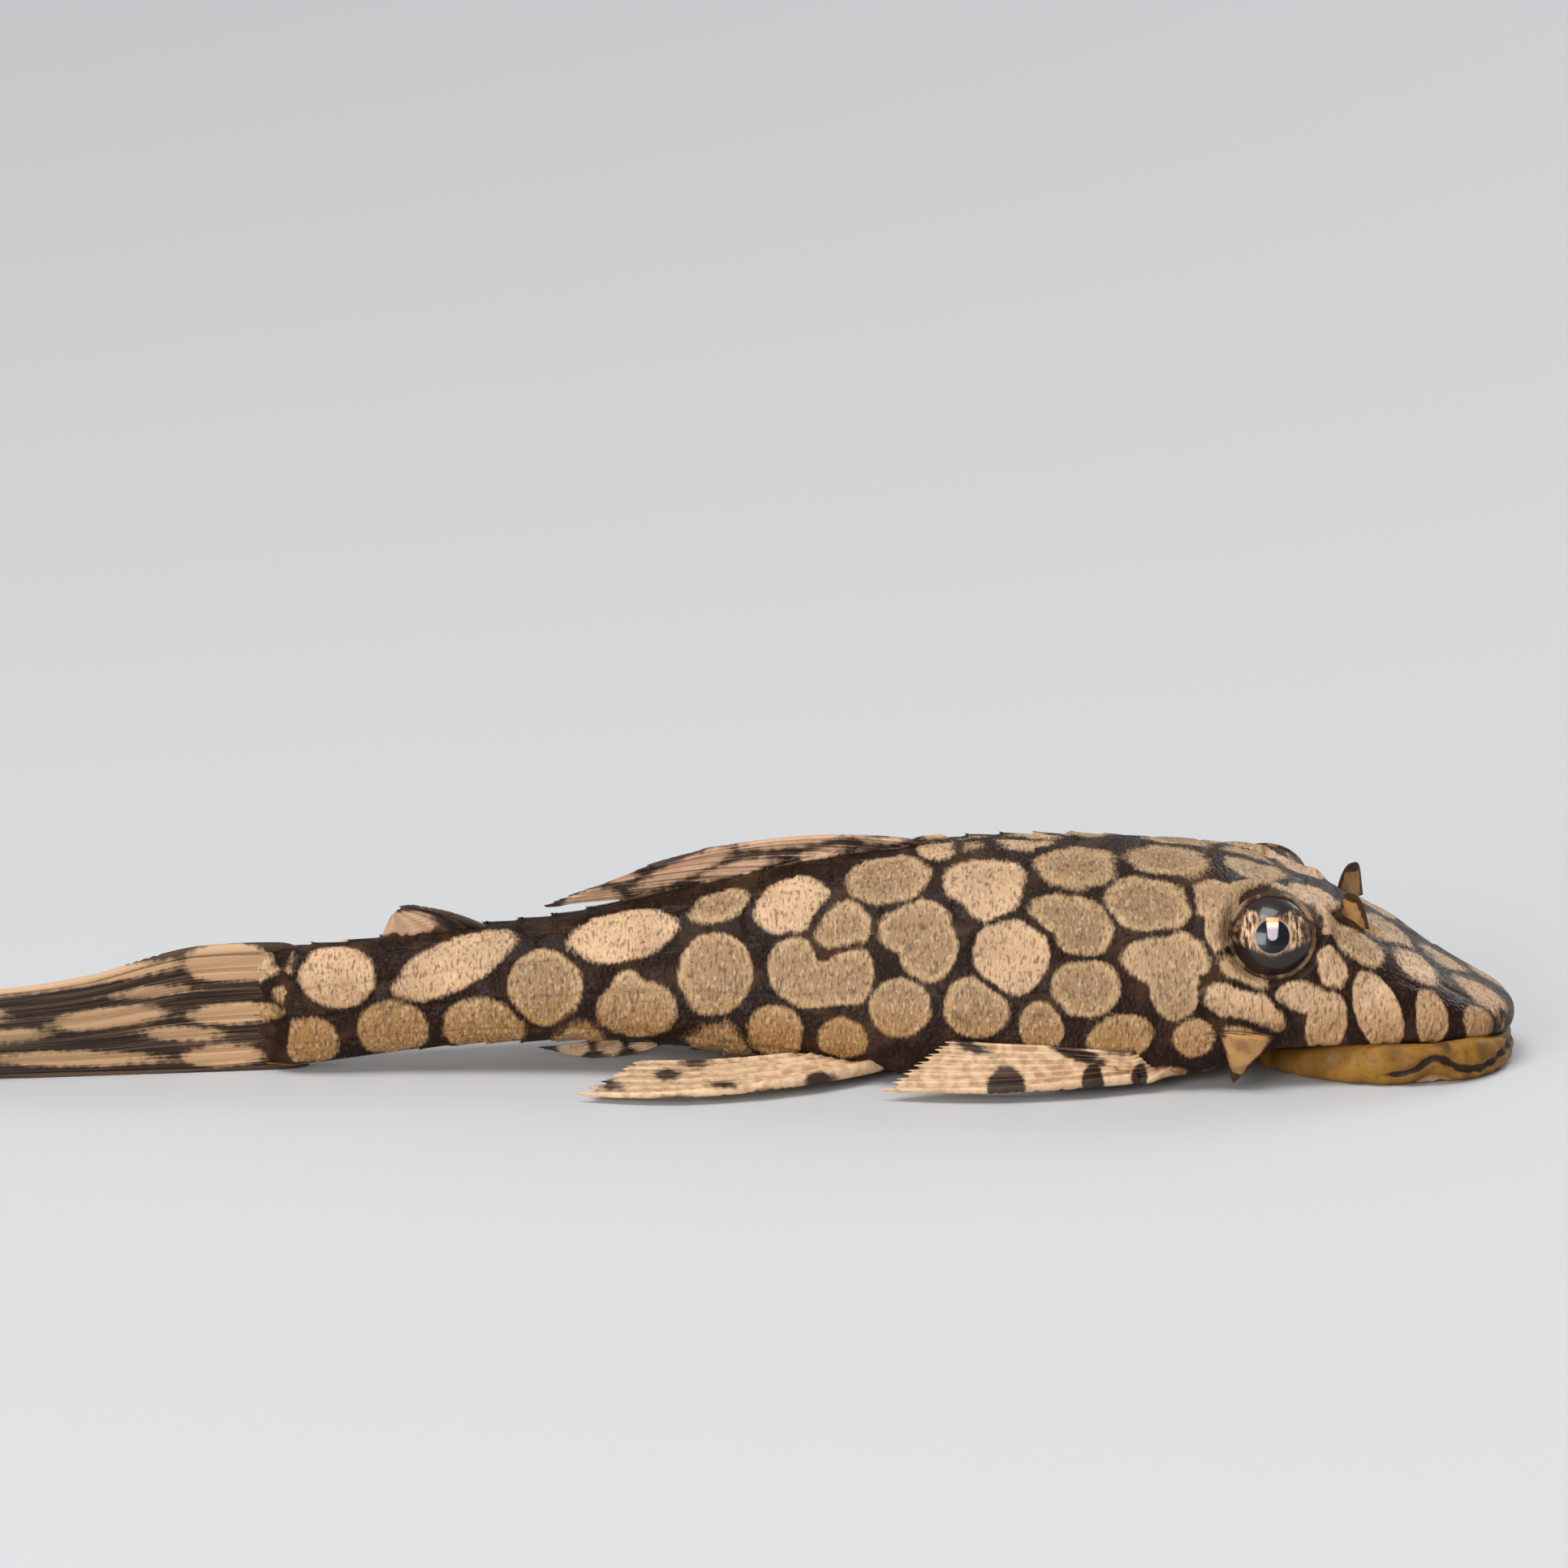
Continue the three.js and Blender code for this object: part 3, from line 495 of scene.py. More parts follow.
def sheet(points, closed=False, **layers):
    """A grid of faces laid through a grid of points, with layers of values for its vertices."""
    rows, columns = points.shape[:2]
    steps = columns if closed else columns - 1
    bm = bmesh.new()
    bmesh.ops.create_grid(bm, x_segments=rows - 1, y_segments=steps, size=0.5)
    made = {name: bm.verts.layers.float.new(name) for name in layers}
    for vert in bm.verts:
        row = round((vert.co.x + 0.5) * (rows - 1))
        column = round((vert.co.y + 0.5) * steps) % columns
        vert.co = Vector(points[row, column]) * MM
        for name, layer in made.items():
            vert[layer] = float(layers[name][row, column])
    return bm


skin_bm = sheet(skin_shape, blotch=blotches, belly=belly, tone=tone)
bmesh.ops.remove_doubles(skin_bm, verts=skin_bm.verts, dist=2e-6)
bmesh.ops.dissolve_degenerate(skin_bm, edges=skin_bm.edges, dist=1e-7)
bmesh.ops.recalc_face_normals(skin_bm, faces=skin_bm.faces)


def in_scene(name, data):
    """An object in the scene with the given mesh, lamp or camera."""
    made = bpy.data.objects.new(name, data)
    bpy.context.scene.collection.objects.link(made)
    return made


def piece_from(bm, name, material, replaced=()):
    """A finished piece of the fish from a bmesh."""
    mesh = bpy.data.meshes.new(name)
    for face in bm.faces:
        face.smooth = True
    bm.to_mesh(mesh)
    bm.free()
    mesh.materials.append(material)
    piece = in_scene(name, mesh)
    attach(piece, "root")
    if replaced:
        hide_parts(*replaced)


class Finish:
    """A material and the nodes that lead to its shader."""

    def __init__(self, name, roughness, coat=0.0, subsurface=0.0):
        self.material = bpy.data.materials.new(name)
        self.material.use_nodes = True
        self.tree = self.material.node_tree
        self.shader = self.tree.nodes["Principled BSDF"]
        self.shader.inputs["Roughness"].default_value = roughness
        self.shader.inputs["Coat Weight"].default_value = coat
        self.shader.inputs["Coat Roughness"].default_value = 0.12
        self.shader.inputs["Specular IOR Level"].default_value = 0.13
        self.shader.inputs["Subsurface Weight"].default_value = subsurface
        self.shader.inputs["Subsurface Radius"].default_value = (0.0012, 0.0007, 0.0004)

    def put(self, kind, values=None, **settings):
        """A node's outputs, with its settings made and each input set to a value or wired to an output."""
        made = self.tree.nodes.new(kind)
        for name, value in settings.items():
            setattr(made, name, value)
        for key, value in (values or {}).items():
            if isinstance(value, bpy.types.NodeSocket):
                self.tree.links.new(value, made.inputs[key])
            else:
                made.inputs[key].default_value = value
        return made.outputs

    def place(self):
        """The point on the piece."""
        return self.put("ShaderNodeTexCoord")["Object"]

    def painted(self, name):
        """A value kept on the piece's vertices."""
        return self.put("ShaderNodeAttribute", attribute_name=name)["Fac"]

    def maths(self, kind, first, second=0.0):
        """Two values added, multiplied or compared."""
        return self.put("ShaderNodeMath", {0: first, 1: second}, operation=kind)[0]

    def mix(self, amount, first, second, most=1):
        """A colour that goes from a first to a second one, or at most a part of the way."""
        if most < 1:
            amount = self.maths("MULTIPLY", amount, most)
        return self.put("ShaderNodeMix", {0: amount, 6: first, 7: second}, data_type="RGBA")[2]

    def noise(self, where, scale, detail=2.0):
        """Soft noise that repeats about every 1/scale metres."""
        return self.put("ShaderNodeTexNoise", {"Vector": where, "Scale": scale, "Detail": detail})["Fac"]

    def span(self, value, low, high, to_low=0.0, to_high=1.0):
        """A value eased from one range to another."""
        ends = {"Value": value, "From Min": low, "From Max": high, "To Min": to_low, "To Max": to_high}
        return self.put("ShaderNodeMapRange", ends, interpolation_type="SMOOTHSTEP")[0]

    def clouds(self, where, scale, low, high, to_low=0.0, to_high=1.0, detail=2.0):
        """Soft noise eased from one range to another."""
        return self.span(self.noise(where, scale, detail), low, high, to_low, to_high)

    def frayed(self, value, where, scale, reach, detail=2.0):
        """A value that noise moves up or down by at most a reach."""
        return self.maths("ADD", value, self.clouds(where, scale, 0.25, 0.75, -reach, reach, detail))

    def wire(self, value, name):
        """Leads a value or a colour to one of the shader's inputs."""
        self.tree.links.new(value, self.shader.inputs[name])

    def grain(self, height, strength, depth):
        """Fine relief, its depth in metres."""
        bump = self.put("ShaderNodeBump", {"Strength": strength, "Distance": depth, "Height": height})
        self.wire(bump["Normal"], "Normal")

    def coloured(self, colour):
        """The material in its colour."""
        self.wire(colour, "Base Color")
        return self.material


NET_DARK = (0.016, 0.007, 0.0042, 1)
NET_BROWN = (0.052, 0.024, 0.012, 1)
BLOTCH_CREAM = (0.62, 0.40, 0.235, 1)
BLOTCH_EDGE = (0.55, 0.36, 0.17, 1)
BLOTCH_TAN = (0.215, 0.128, 0.062, 1)
BLOTCH_FLECK = (0.085, 0.048, 0.026, 1)
BLOTCH_BRIGHT = (0.74, 0.57, 0.40, 1)
BLOTCH_LOW = (0.33, 0.160, 0.042, 1)
BELLY_GREY = (0.42, 0.33, 0.24, 1)


def streaked(skin, where, scale):
    """Coordinates that draw a pattern out into short upright streaks."""
    scales = (scale, 0.38 * scale, 0.38 * scale)
    return skin.put("ShaderNodeVectorMath", {0: where, 1: scales}, operation="MULTIPLY")[0]


def skin_material():
    """Pale blotches with dark flecks on a dark net, warmer low on the flank, over fine tooth-like grains."""
    skin = Finish("pleco_skin", 0.42, 0.03, 0.04)
    skin.shader.inputs["Specular IOR Level"].default_value = 0.09
    where = skin.place()
    paleness = skin.painted("tone")
    depth = skin.frayed(skin.painted("blotch"), where, 620, 0.07)
    depth = skin.frayed(depth, streaked(skin, where, 9000), 1.0, 0.04, 1.0)
    middle = skin.mix(paleness, BLOTCH_TAN, BLOTCH_CREAM)
    rim = skin.mix(0.62, middle, skin.mix(paleness, BLOTCH_EDGE, BLOTCH_CREAM))
    inner = skin.mix(skin.span(depth, 0.04, 0.42), rim, middle)
    inner = skin.mix(skin.clouds(where, 520, 0.3, 0.7, detail=1.0), inner, BLOTCH_TAN, 0.35)
    low = skin.span(skin.put("ShaderNodeSeparateXYZ", {0: where})["Z"], 0.0042, 0.0018)
    inner = skin.mix(low, inner, BLOTCH_LOW, 0.7)
    fleck = skin.clouds(streaked(skin, where, 8600), 1.0, 0.50, 0.68, detail=1.0)
    inner = skin.mix(fleck, inner, BLOTCH_FLECK, 0.6)
    bright = skin.clouds(streaked(skin, where, 9800), 1.0, 0.58, 0.74, detail=0.0)
    inner = skin.mix(bright, inner, BLOTCH_BRIGHT, 0.3)
    net = skin.mix(skin.clouds(where, 760, 0.45, 0.75), NET_DARK, NET_BROWN)
    net = skin.mix(bright, net, BLOTCH_FLECK, 0.25)
    colour = skin.mix(skin.span(depth, -0.11, 0.08), net, inner)
    under = skin.mix(skin.clouds(where, 520, 0.42, 0.60), BELLY_GREY, BLOTCH_LOW)
    skin.wire(skin.clouds(where, 1500, 0.3, 0.7, 0.36, 0.55), "Roughness")
    grains = skin.put("ShaderNodeTexVoronoi", {"Vector": where, "Scale": 5200.0})["Distance"]
    skin.grain(skin.span(grains, 0.0, 0.7, 1.0, 0.0), 0.5, 0.00006)
    return skin.coloured(skin.mix(skin.painted("belly"), colour, under))


skin_finish = skin_material()
piece_from(skin_bm, "body_skin", skin_finish, ("head", "trunk", "tail"))

# Eyes. Each is a glassy ball with a dark pupil, a pale lobe of the iris hanging over it, brightened by a
# painted highlight, and a coppery, streaked iris round it. A soft lid of skin holds it in the orbit.
GAZE_TILT = math.radians(17)
PUPIL_RADIUS = 0.70
PUPIL_BLACK = (0.0015, 0.003, 0.008, 1)
LOBE_HALF_WIDTH = 0.22
LOBE_DROP = 0.02
LOBE_GREY = (0.50, 0.42, 0.46, 1)
LOBE_ORANGE = (0.80, 0.42, 0.16, 1)
LOBE_HIGHLIGHT = (0.9, 0.78, 0.6, 1)
IRIS_RADIUS = 1.40
IRIS_COPPER = (0.20, 0.105, 0.055, 1)
IRIS_PINK = (0.72, 0.47, 0.29, 1)
IRIS_TAN = (0.62, 0.38, 0.23, 1)
IRIS_DARK = (0.020, 0.012, 0.010, 1)
LID_THICK = 0.13
LID_TAN = (0.26, 0.155, 0.085, 1)


def from_middle(eye, x, y):
    """How far a point lies from the middle."""
    squares = eye.maths("ADD", eye.maths("POWER", x, 2.0), eye.maths("POWER", y, 2.0))
    return eye.maths("SQRT", squares)


def eye_finish():
    """Pupil, lobe and iris drawn on the eye's own map, in millimetres from the middle of the pupil."""
    eye = Finish("eye_glass", 0.3, 0.45)
    eye.shader.inputs["Coat Roughness"].default_value = 0.04
    eye.shader.inputs["Specular IOR Level"].default_value = 0.25
    at = eye.put("ShaderNodeUVMap", uv_map="iris")[0]
    split = eye.put("ShaderNodeSeparateXYZ", {0: at})
    x, y = split["X"], split["Y"]
    radius = from_middle(eye, x, y)
    side = eye.maths("ABSOLUTE", x)
    upright = eye.put("ShaderNodeCombineXYZ", {0: eye.maths("MULTIPLY", x, 4.5), 1: y})[0]
    streaks = eye.noise(upright, 1.7, 3.0)
    colour = eye.mix(eye.span(streaks, 0.40, 0.60), IRIS_COPPER, IRIS_PINK)
    beside = eye.maths("MULTIPLY", eye.span(side, 0.45, 0.8), eye.span(side, 1.36, 1.12))
    above = eye.maths("SUBTRACT", 0.72, eye.maths("MULTIPLY", beside, 0.72))
    colour = eye.mix(above, colour, IRIS_DARK)
    banded = eye.maths("ADD", radius, eye.clouds(at, 3.5, 0.3, 0.7, -0.16, 0.16))
    band = eye.maths("MULTIPLY", eye.span(banded, 0.92, 1.06), eye.span(banded, 1.38, 1.2))
    band = eye.maths("MULTIPLY", band, eye.span(streaks, 0.58, 0.44))
    colour = eye.mix(band, colour, IRIS_DARK, 0.85)
    colour = eye.mix(eye.span(radius, PUPIL_RADIUS + 0.12, PUPIL_RADIUS), colour, IRIS_TAN, 0.45)
    outer = eye.mix(eye.clouds(at, 2.4, 0.46, 0.62), IRIS_DARK, IRIS_COPPER)
    colour = eye.mix(eye.span(banded, IRIS_RADIUS - 0.12, IRIS_RADIUS + 0.06), colour, outer)
    for slope, start, full in ((-0.42, 0.62, 0.82), (-0.45, -0.72, -0.98)):
        lid_shade = eye.maths("ADD", y, eye.maths("MULTIPLY", side, slope))
        colour = eye.mix(eye.span(lid_shade, start, full), colour, IRIS_DARK)
    colour = eye.mix(eye.span(radius, PUPIL_RADIUS + 0.02, PUPIL_RADIUS - 0.03), colour, PUPIL_BLACK)
    below = eye.maths("MAXIMUM", eye.maths("SUBTRACT", LOBE_DROP, y))
    lobe_size = eye.span(y, -0.3, 0.7, LOBE_HALF_WIDTH * 0.86, LOBE_HALF_WIDTH * 1.1)
    outside = eye.maths("SUBTRACT", from_middle(eye, x, below), lobe_size)
    lobe = eye.maths("MULTIPLY", eye.span(outside, 0.03, -0.03), eye.span(y, 0.80, 0.72))
    lobe_colour = eye.mix(eye.span(y, 0.25, 0.65), LOBE_GREY, LOBE_ORANGE)
    # A painted highlight brightens a band across the middle of the lobe
    from_shine = eye.maths("ABSOLUTE", eye.maths("SUBTRACT", y, 0.45))
    lobe_colour = eye.mix(eye.span(from_shine, 0.2, 0.0), lobe_colour, LOBE_HIGHLIGHT)
    return eye.coloured(eye.mix(lobe, colour, lobe_colour))


def lid_finish():
    """Dark, soft skin round the eye with tan patches."""
    lid = Finish("eye_lid", 0.6, 0.04, 0.05)
    where = lid.place()
    lid.grain(lid.noise(where, 5000), 0.4, 0.00005)
    return lid.coloured(lid.mix(lid.clouds(where, 1400, 0.45, 0.62), NET_BROWN, LID_TAN))


eye_glass = eye_finish()
lid_skin = lid_finish()
for side_name, side in SIDES.items():
    centre, radius = eye_places[side_name][:2]
    gaze = Vector((0, side * math.cos(GAZE_TILT), math.sin(GAZE_TILT)))
    forward = Vector((1, 0, 0))
    up = Vector((0, -side * math.sin(GAZE_TILT), math.cos(GAZE_TILT)))
    eye_bm = bmesh.new()
    bmesh.ops.create_uvsphere(eye_bm, u_segments=96, v_segments=64, radius=radius)
    turned = Matrix((forward, up, gaze)).transposed()
    bmesh.ops.rotate(eye_bm, verts=eye_bm.verts, cent=(0, 0, 0), matrix=turned)
    iris_map = eye_bm.loops.layers.uv.new("iris")
    for face in eye_bm.faces:
        for loop in face.loops:
            loop[iris_map].uv = (loop.vert.co.dot(forward), loop.vert.co.dot(up))
    for vert in eye_bm.verts:
        vert.co = (vert.co + Vector(centre)) * MM
    bmesh.ops.recalc_face_normals(eye_bm, faces=eye_bm.faces)
    piece_from(eye_bm, f"eye_ball_{side_name}", eye_glass, (f"eye_{side_name}",))


def close_up(bm, weld=1e-6):
    """Welds a shell's seam and poles, fills what is left open and turns its faces outward."""
    bmesh.ops.remove_doubles(bm, verts=bm.verts, dist=weld)
    bmesh.ops.holes_fill(bm, edges=[edge for edge in bm.edges if edge.is_boundary], sides=0)
    bmesh.ops.recalc_face_normals(bm, faces=bm.faces)


def circle(count):
    """Angles spaced evenly round a circle."""
    return 2 * math.pi * np.arange(count) / count


LID_STEPS = 120
LID_SECTION_STEPS = 16
for side_name, side in SIDES.items():
    centre, radius, out = eye_places[side_name]
    up = np.array([0, -side * math.sin(LID_TILT), math.cos(LID_TILT)])
    turn = circle(LID_STEPS)
    spokes = np.outer(np.cos(turn), [1, 0, 0]) + np.outer(np.sin(turn), up)
    path = centre + out * (math.sqrt(radius**2 - LID_RADIUS**2) + 0.01) + LID_RADIUS * spokes
    around = circle(LID_SECTION_STEPS)[None, :, None]
    rings = path[:, None, :] + LID_THICK * (np.cos(around) * spokes[:, None, :] + np.sin(around) * out)
    lid_bm = sheet(np.concatenate([rings, rings[:1]]), True)
    close_up(lid_bm)
    piece_from(lid_bm, f"eye_lid_{side_name}", lid_skin)

# Nostril flaps and cheek flaps: leaves of soft skin. A pointed flap stands between the two openings of each
# nostril, and a three-cornered one hangs from each cheek to the floor.
FLAP_ROWS = 26
FLAP_SIDES = 28
FLAP_NARROWING = 0.35
FLAP_BOW = 0.12
FLAP_ORANGE = (0.46, 0.25, 0.09, 1)
FLAP_BROWN = (0.27, 0.14, 0.055, 1)
NOSTRIL_TURN = math.radians(48)
NOSTRIL_FLAP = dict(half_width=0.88, height=1.45, thick=0.3, skew=0.1, taper=3.4)
CHEEK_FLAP_PLACE = 11.1, 7.0, 2.42
CHEEK_FLAP = dict(half_width=1.15, height=2.3, thick=0.5, skew=-0.3, taper=1.2)


def leaf(base, across, upward, half_width, height, thick, skew, taper):
    """Rings of a leaf of skin that narrows to a tip."""
    rings = []
    across = np.array(Vector(across).normalized())
    upward = np.array(Vector(upward).normalized())
    through_way = np.cross(across, upward)
    turn = circle(FLAP_SIDES)
    for share in np.sin(np.linspace(0, math.pi / 2, FLAP_ROWS)):
        width = half_width * (1 - share**taper) ** (1 / taper) * (1 - FLAP_NARROWING * share)
        depth = thick / 2 * math.sqrt(max(1 - share**3, 0))
        middle = np.array(base) + upward * height * share + across * skew * share**1.4
        middle = middle + through_way * FLAP_BOW * height * share**2
        ring = np.outer(width * np.cos(turn), across) + np.outer(depth * np.sin(turn), through_way)
        rings.append(middle + ring)
    return np.array(rings)


def flap_finish():
    """Orange-brown skin, darker towards the edges."""
    flap = Finish("flap_skin", 0.5, 0.08, 0.08)
    where = flap.place()
    brown = flap.mix(flap.clouds(where, 1500, 0.35, 0.68), FLAP_ORANGE, FLAP_BROWN)
    edge = flap.span(flap.frayed(flap.painted("tip"), where, 2200, 0.16), 0.62, 0.84)
    flap.grain(flap.noise(where, 5200), 0.35, 0.00005)
    return flap.coloured(flap.mix(edge, brown, NET_BROWN))


flap_skin = flap_finish()
near_edge = np.abs(np.cos(circle(FLAP_SIDES)))[None, :]
tip = np.maximum(near_edge, ease(np.linspace(0, 1, FLAP_ROWS), 0.35, 0.65)[:, None])
nostril_height = skin_top(NOSTRIL_STATION, NOSTRIL_SIDE) - 0.3
for side_name, side in SIDES.items():
    nostril = SNOUT_X - NOSTRIL_STATION, side * NOSTRIL_SIDE, nostril_height
    over_nostril = math.cos(NOSTRIL_TURN), side * math.sin(NOSTRIL_TURN), 0
    station, away, height = CHEEK_FLAP_PLACE
    cheek = SNOUT_X - station, side * away, height
    flaps = {
        "nostril_flap": leaf(nostril, over_nostril, (-0.04, side * 0.1, 1), **NOSTRIL_FLAP),
        "cheek_flap": leaf(cheek, (1, side * 0.02, -0.1), (-0.1, -side * 0.16, -1), **CHEEK_FLAP),
    }
    for flap_name, rings in flaps.items():
        flap_bm = sheet(rings, True, tip=tip)
        close_up(flap_bm)
        piece_from(flap_bm, f"{flap_name}_{side_name}", flap_skin)

# Cheek spines. A small fan of hooked spines of bone, amber at the tips, grows from the rear corner of each
# cheek plate.
SPINE_COUNT = 4
SPINE_STATION = 12.0
SPINE_HEIGHT = 1.9
SPINE_LENGTH = 0.7
SPINE_RADIUS = 0.085
AMBER_DARK = (0.22, 0.105, 0.035, 1)
AMBER_LIGHT = (0.40, 0.22, 0.085, 1)


def amber_finish():
    """Hard, see-through amber, as the tips of the spines and the teeth."""
    amber = Finish("amber", 0.28, 0.4, 0.2)
    shade = amber.clouds(amber.place(), 1800, 0.3, 0.7)
    return amber.coloured(amber.mix(shade, AMBER_DARK, AMBER_LIGHT))


def tube_rings(points, radii, sides, up=(0, 0, 1)):
    """Rings of points round a path."""
    rings = []
    for i, radius in enumerate(radii):
        along = Vector(points[min(i + 1, len(points) - 1)] - points[max(i - 1, 0)]).normalized()
        across = along.cross(Vector(up)).normalized()
        other = across.cross(along)
        turn = circle(sides)
        rings.append(points[i] + radius * (np.outer(np.cos(turn), across) + np.outer(np.sin(turn), other)))
    return np.array(rings)


def merged(target, bm):
    """Adds one bmesh to another."""
    close_up(bm)
    spare = bpy.data.meshes.new("spare")
    bm.to_mesh(spare)
    bm.free()
    target.from_mesh(spare)
    bpy.data.meshes.remove(spare)


amber = amber_finish()
for side_name, side in SIDES.items():
    spine_bm = bmesh.new()
    for i in range(SPINE_COUNT):
        share = i / (SPINE_COUNT - 1)
        station = SPINE_STATION + 0.4 * share
        height = SPINE_HEIGHT + 0.85 * share
        root = np.array([SNOUT_X - station, side * (float(flank_at(station, height)) - 0.2), height])
        reach = SPINE_LENGTH * (0.75 + 0.35 * math.sin(math.pi * share))
        tip = root + [-reach, side * 0.32 * reach, -0.3 * reach * (1 - share)]
        bend = root + [-0.4 * reach, side * 0.42 * reach, 0]
        t = np.linspace(0, 1, 9)[:, None]
        path = root * (1 - t) ** 2 + 2 * bend * t * (1 - t) + tip * t**2
        merged(spine_bm, sheet(tube_rings(path, SPINE_RADIUS * (1 - t[:, 0] ** 1.6), 8), True))
    piece_from(spine_bm, f"cheek_spines_{side_name}", amber)

# Lips: a soft, round sucker under the snout that grips the floor. Its rim is ochre with a wavy fold darkened
# by painted shade, and its underside is pale and covered in small bumps.
DISC_WIDEST = 5.0
DISC_FRONT = 4.97
DISC_BACK = 6.0
DISC_HALF_WIDTH = 6.18
DISC_POWER = 2.35
MOUTH_STATION = 4.6
MOUTH_LENGTH = 1.2
MOUTH_HALF_WIDTH = 2.7
LIP_RINGS = 130
LIP_AROUND = 360
LIP_PROFILE = [  # share of the way from the mouth to the rim, share of that ring's size, height
    (1, 0.0, 1.35), (1, 0.6, 1.5), (1, 0.84, 1.62), (1, 0.905, 1.66), (1, 0.955, 1.50), (1, 0.985, 1.12),
    (1, 0.995, 0.72), (1, 0.985, 0.36), (1, 0.96, 0.12), (1, 0.93, 0.02), (0.8, 1, 0.02), (0.5, 1, 0.08),
    (0.2, 1, 0.12), (0.05, 1, 0.08), (0, 1, 0.18), (0, 0.9, 0.42), (0, 0.6, 0.55), (0, 0, 0.6),
]
FOLD_STATION = 3.4
FOLD_RISE = 0.42
LIP_OCHRE = (0.31, 0.150, 0.024, 1)
LIP_BROWN = (0.19, 0.090, 0.018, 1)
LIP_GRAIN = (0.12, 0.058, 0.018, 1)
# Painted shade in the fold of the lip
LIP_FOLD_SHADE = (0.03, 0.015, 0.009, 1)
LIP_SPOT = (0.06, 0.03, 0.015, 1)
LIP_PINK = (0.52, 0.36, 0.24, 1)
LIP_PALE = (0.62, 0.48, 0.36, 1)


def model_points(station, side, height):
    """Model points, in millimetres, from stations, distances from the middle and heights."""
    return np.stack(np.broadcast_arrays(SNOUT_X - station, side + bend_at(station), height), axis=-1)


def plan_ring(turn, front, back, half_width, power):
    """Forward and sideways reach of a rounded outline."""
    along, side = np.cos(turn), np.sin(turn)
    exponent = np.where(along > 0, 2 / power, 1)
    forward = np.where(along > 0, front, back) * np.sign(along) * np.abs(along) ** exponent
    return forward, half_width * np.sign(side) * np.abs(side) ** exponent


lip_turn = circle(LIP_AROUND)
rim_forward, rim_side = plan_ring(lip_turn, DISC_FRONT, DISC_BACK, DISC_HALF_WIDTH, DISC_POWER)
mouth_forward, mouth_side = plan_ring(lip_turn, MOUTH_LENGTH, MOUTH_LENGTH, MOUTH_HALF_WIDTH, 2)
lip_step = np.linspace(0, len(LIP_PROFILE) - 1, LIP_RINGS + 1)
lip_columns = [through(list(enumerate(column)), lip_step)[:, None] for column in zip(*LIP_PROFILE)]
lip_out = np.clip(lip_columns[0], 0, 1)
lip_size = np.clip(lip_columns[1], 0, 1)
lip_height = lip_columns[2]
forward = (mouth_forward + (rim_forward - mouth_forward) * lip_out) * lip_size
sideways = (mouth_side + (rim_side - mouth_side) * lip_out) * lip_size
middle_station = MOUTH_STATION + (DISC_WIDEST - MOUTH_STATION) * lip_out
lip_station = middle_station - forward
upper = lip_height * (1 - 0.18 * ease(rim_forward, 3.2, 4.9) - 0.38 * ease(-rim_forward, 2.0, 5))
edge_share = ease(lip_out, 0.8, 1) * ease(lip_size, 0.5, 0.8)
fold = FOLD_RISE * np.exp(-(((DISC_WIDEST - rim_forward - FOLD_STATION) / 0.8) ** 2)) * (np.abs(rim_side) > 1)
lip_z = upper + fold * edge_share * (1 - lip_height / 1.5)
groove_height = 0.5 + 0.62 * np.exp(-(((lip_station - FOLD_STATION) / 0.85) ** 2))
groove_height += 0.35 * ease(lip_station, 1.6, 0.2)
# The groove is a shallow crease in the lip's shape, and the same mask lays painted shade into it
in_groove = np.exp(-(((lip_z - groove_height) / 0.17) ** 2)) * edge_share * (1 - ease(lip_station, 5.0, 6.0))
on_rim = ease(lip_size * lip_out, 0.9, 0.97)
shrink = 1 - (0.02 * in_groove + 0.008 * np.sin(31 * lip_turn) * on_rim) * edge_share
underside = ease(lip_step, 9.2, 10.0)[:, None] * (1 - ease(lip_step, 13.2, 13.8)[:, None])
bumps = np.cos(forward * 9 + 0.7 * np.sin(sideways * 3)) * np.cos(sideways * 9)
lip_z = lip_z + 0.05 * underside * (1 + bumps)
lip_points = model_points(middle_station - forward * shrink, sideways * shrink, lip_z)
lip_points[..., 2] = np.maximum(lip_points[..., 2], 0)
lip_bm = sheet(lip_points, True, groove=in_groove, under=underside + 0 * in_groove)
close_up(lip_bm)


def lip_finish():
    """Ochre rim with a fold darkened by painted shade, a few dark spots, and a paler underside."""
    lip = Finish("lip_skin", 0.55, 0.05, 0.1)
    where = lip.place()
    shade = lip.clouds(where, 700, 0.35, 0.65)
    ochre = lip.mix(shade, LIP_OCHRE, LIP_BROWN)
    ochre = lip.mix(lip.clouds(where, 4200, 0.5, 0.72), ochre, LIP_GRAIN, 0.5)
    # Painted shade darkens the wavy fold of the rim
    fold = lip.span(lip.frayed(lip.painted("groove"), where, 2400, 0.22), 0.25, 0.6)
    colour = lip.mix(fold, ochre, LIP_FOLD_SHADE)
    colour = lip.mix(lip.clouds(where, 480, 0.69, 0.73, detail=0.0), colour, LIP_SPOT, 0.7)
    colour = lip.mix(lip.painted("under"), colour, lip.mix(shade, LIP_PINK, LIP_PALE))
    lip.grain(lip.noise(where, 4600), 0.4, 0.00006)
    return lip.coloured(colour)


lip_skin = lip_finish()
piece_from(lip_bm, "sucker_lips", lip_skin, ("lips",))

# Teeth. A comb of fine, bent teeth, amber and hard, stands in the gum of each half of both jaws, inside the
# mouth.
TEETH_PER_COMB = 16
TOOTH_LENGTH = 0.42
COMB_HALF_WIDTH = 1.9
COMB_SETBACK = 0.62
GUM_HEIGHT = 0.56


def between(first, second, share):
    """Points part of the way from one set of points to another."""
    return first + (second - first) * share[..., None]


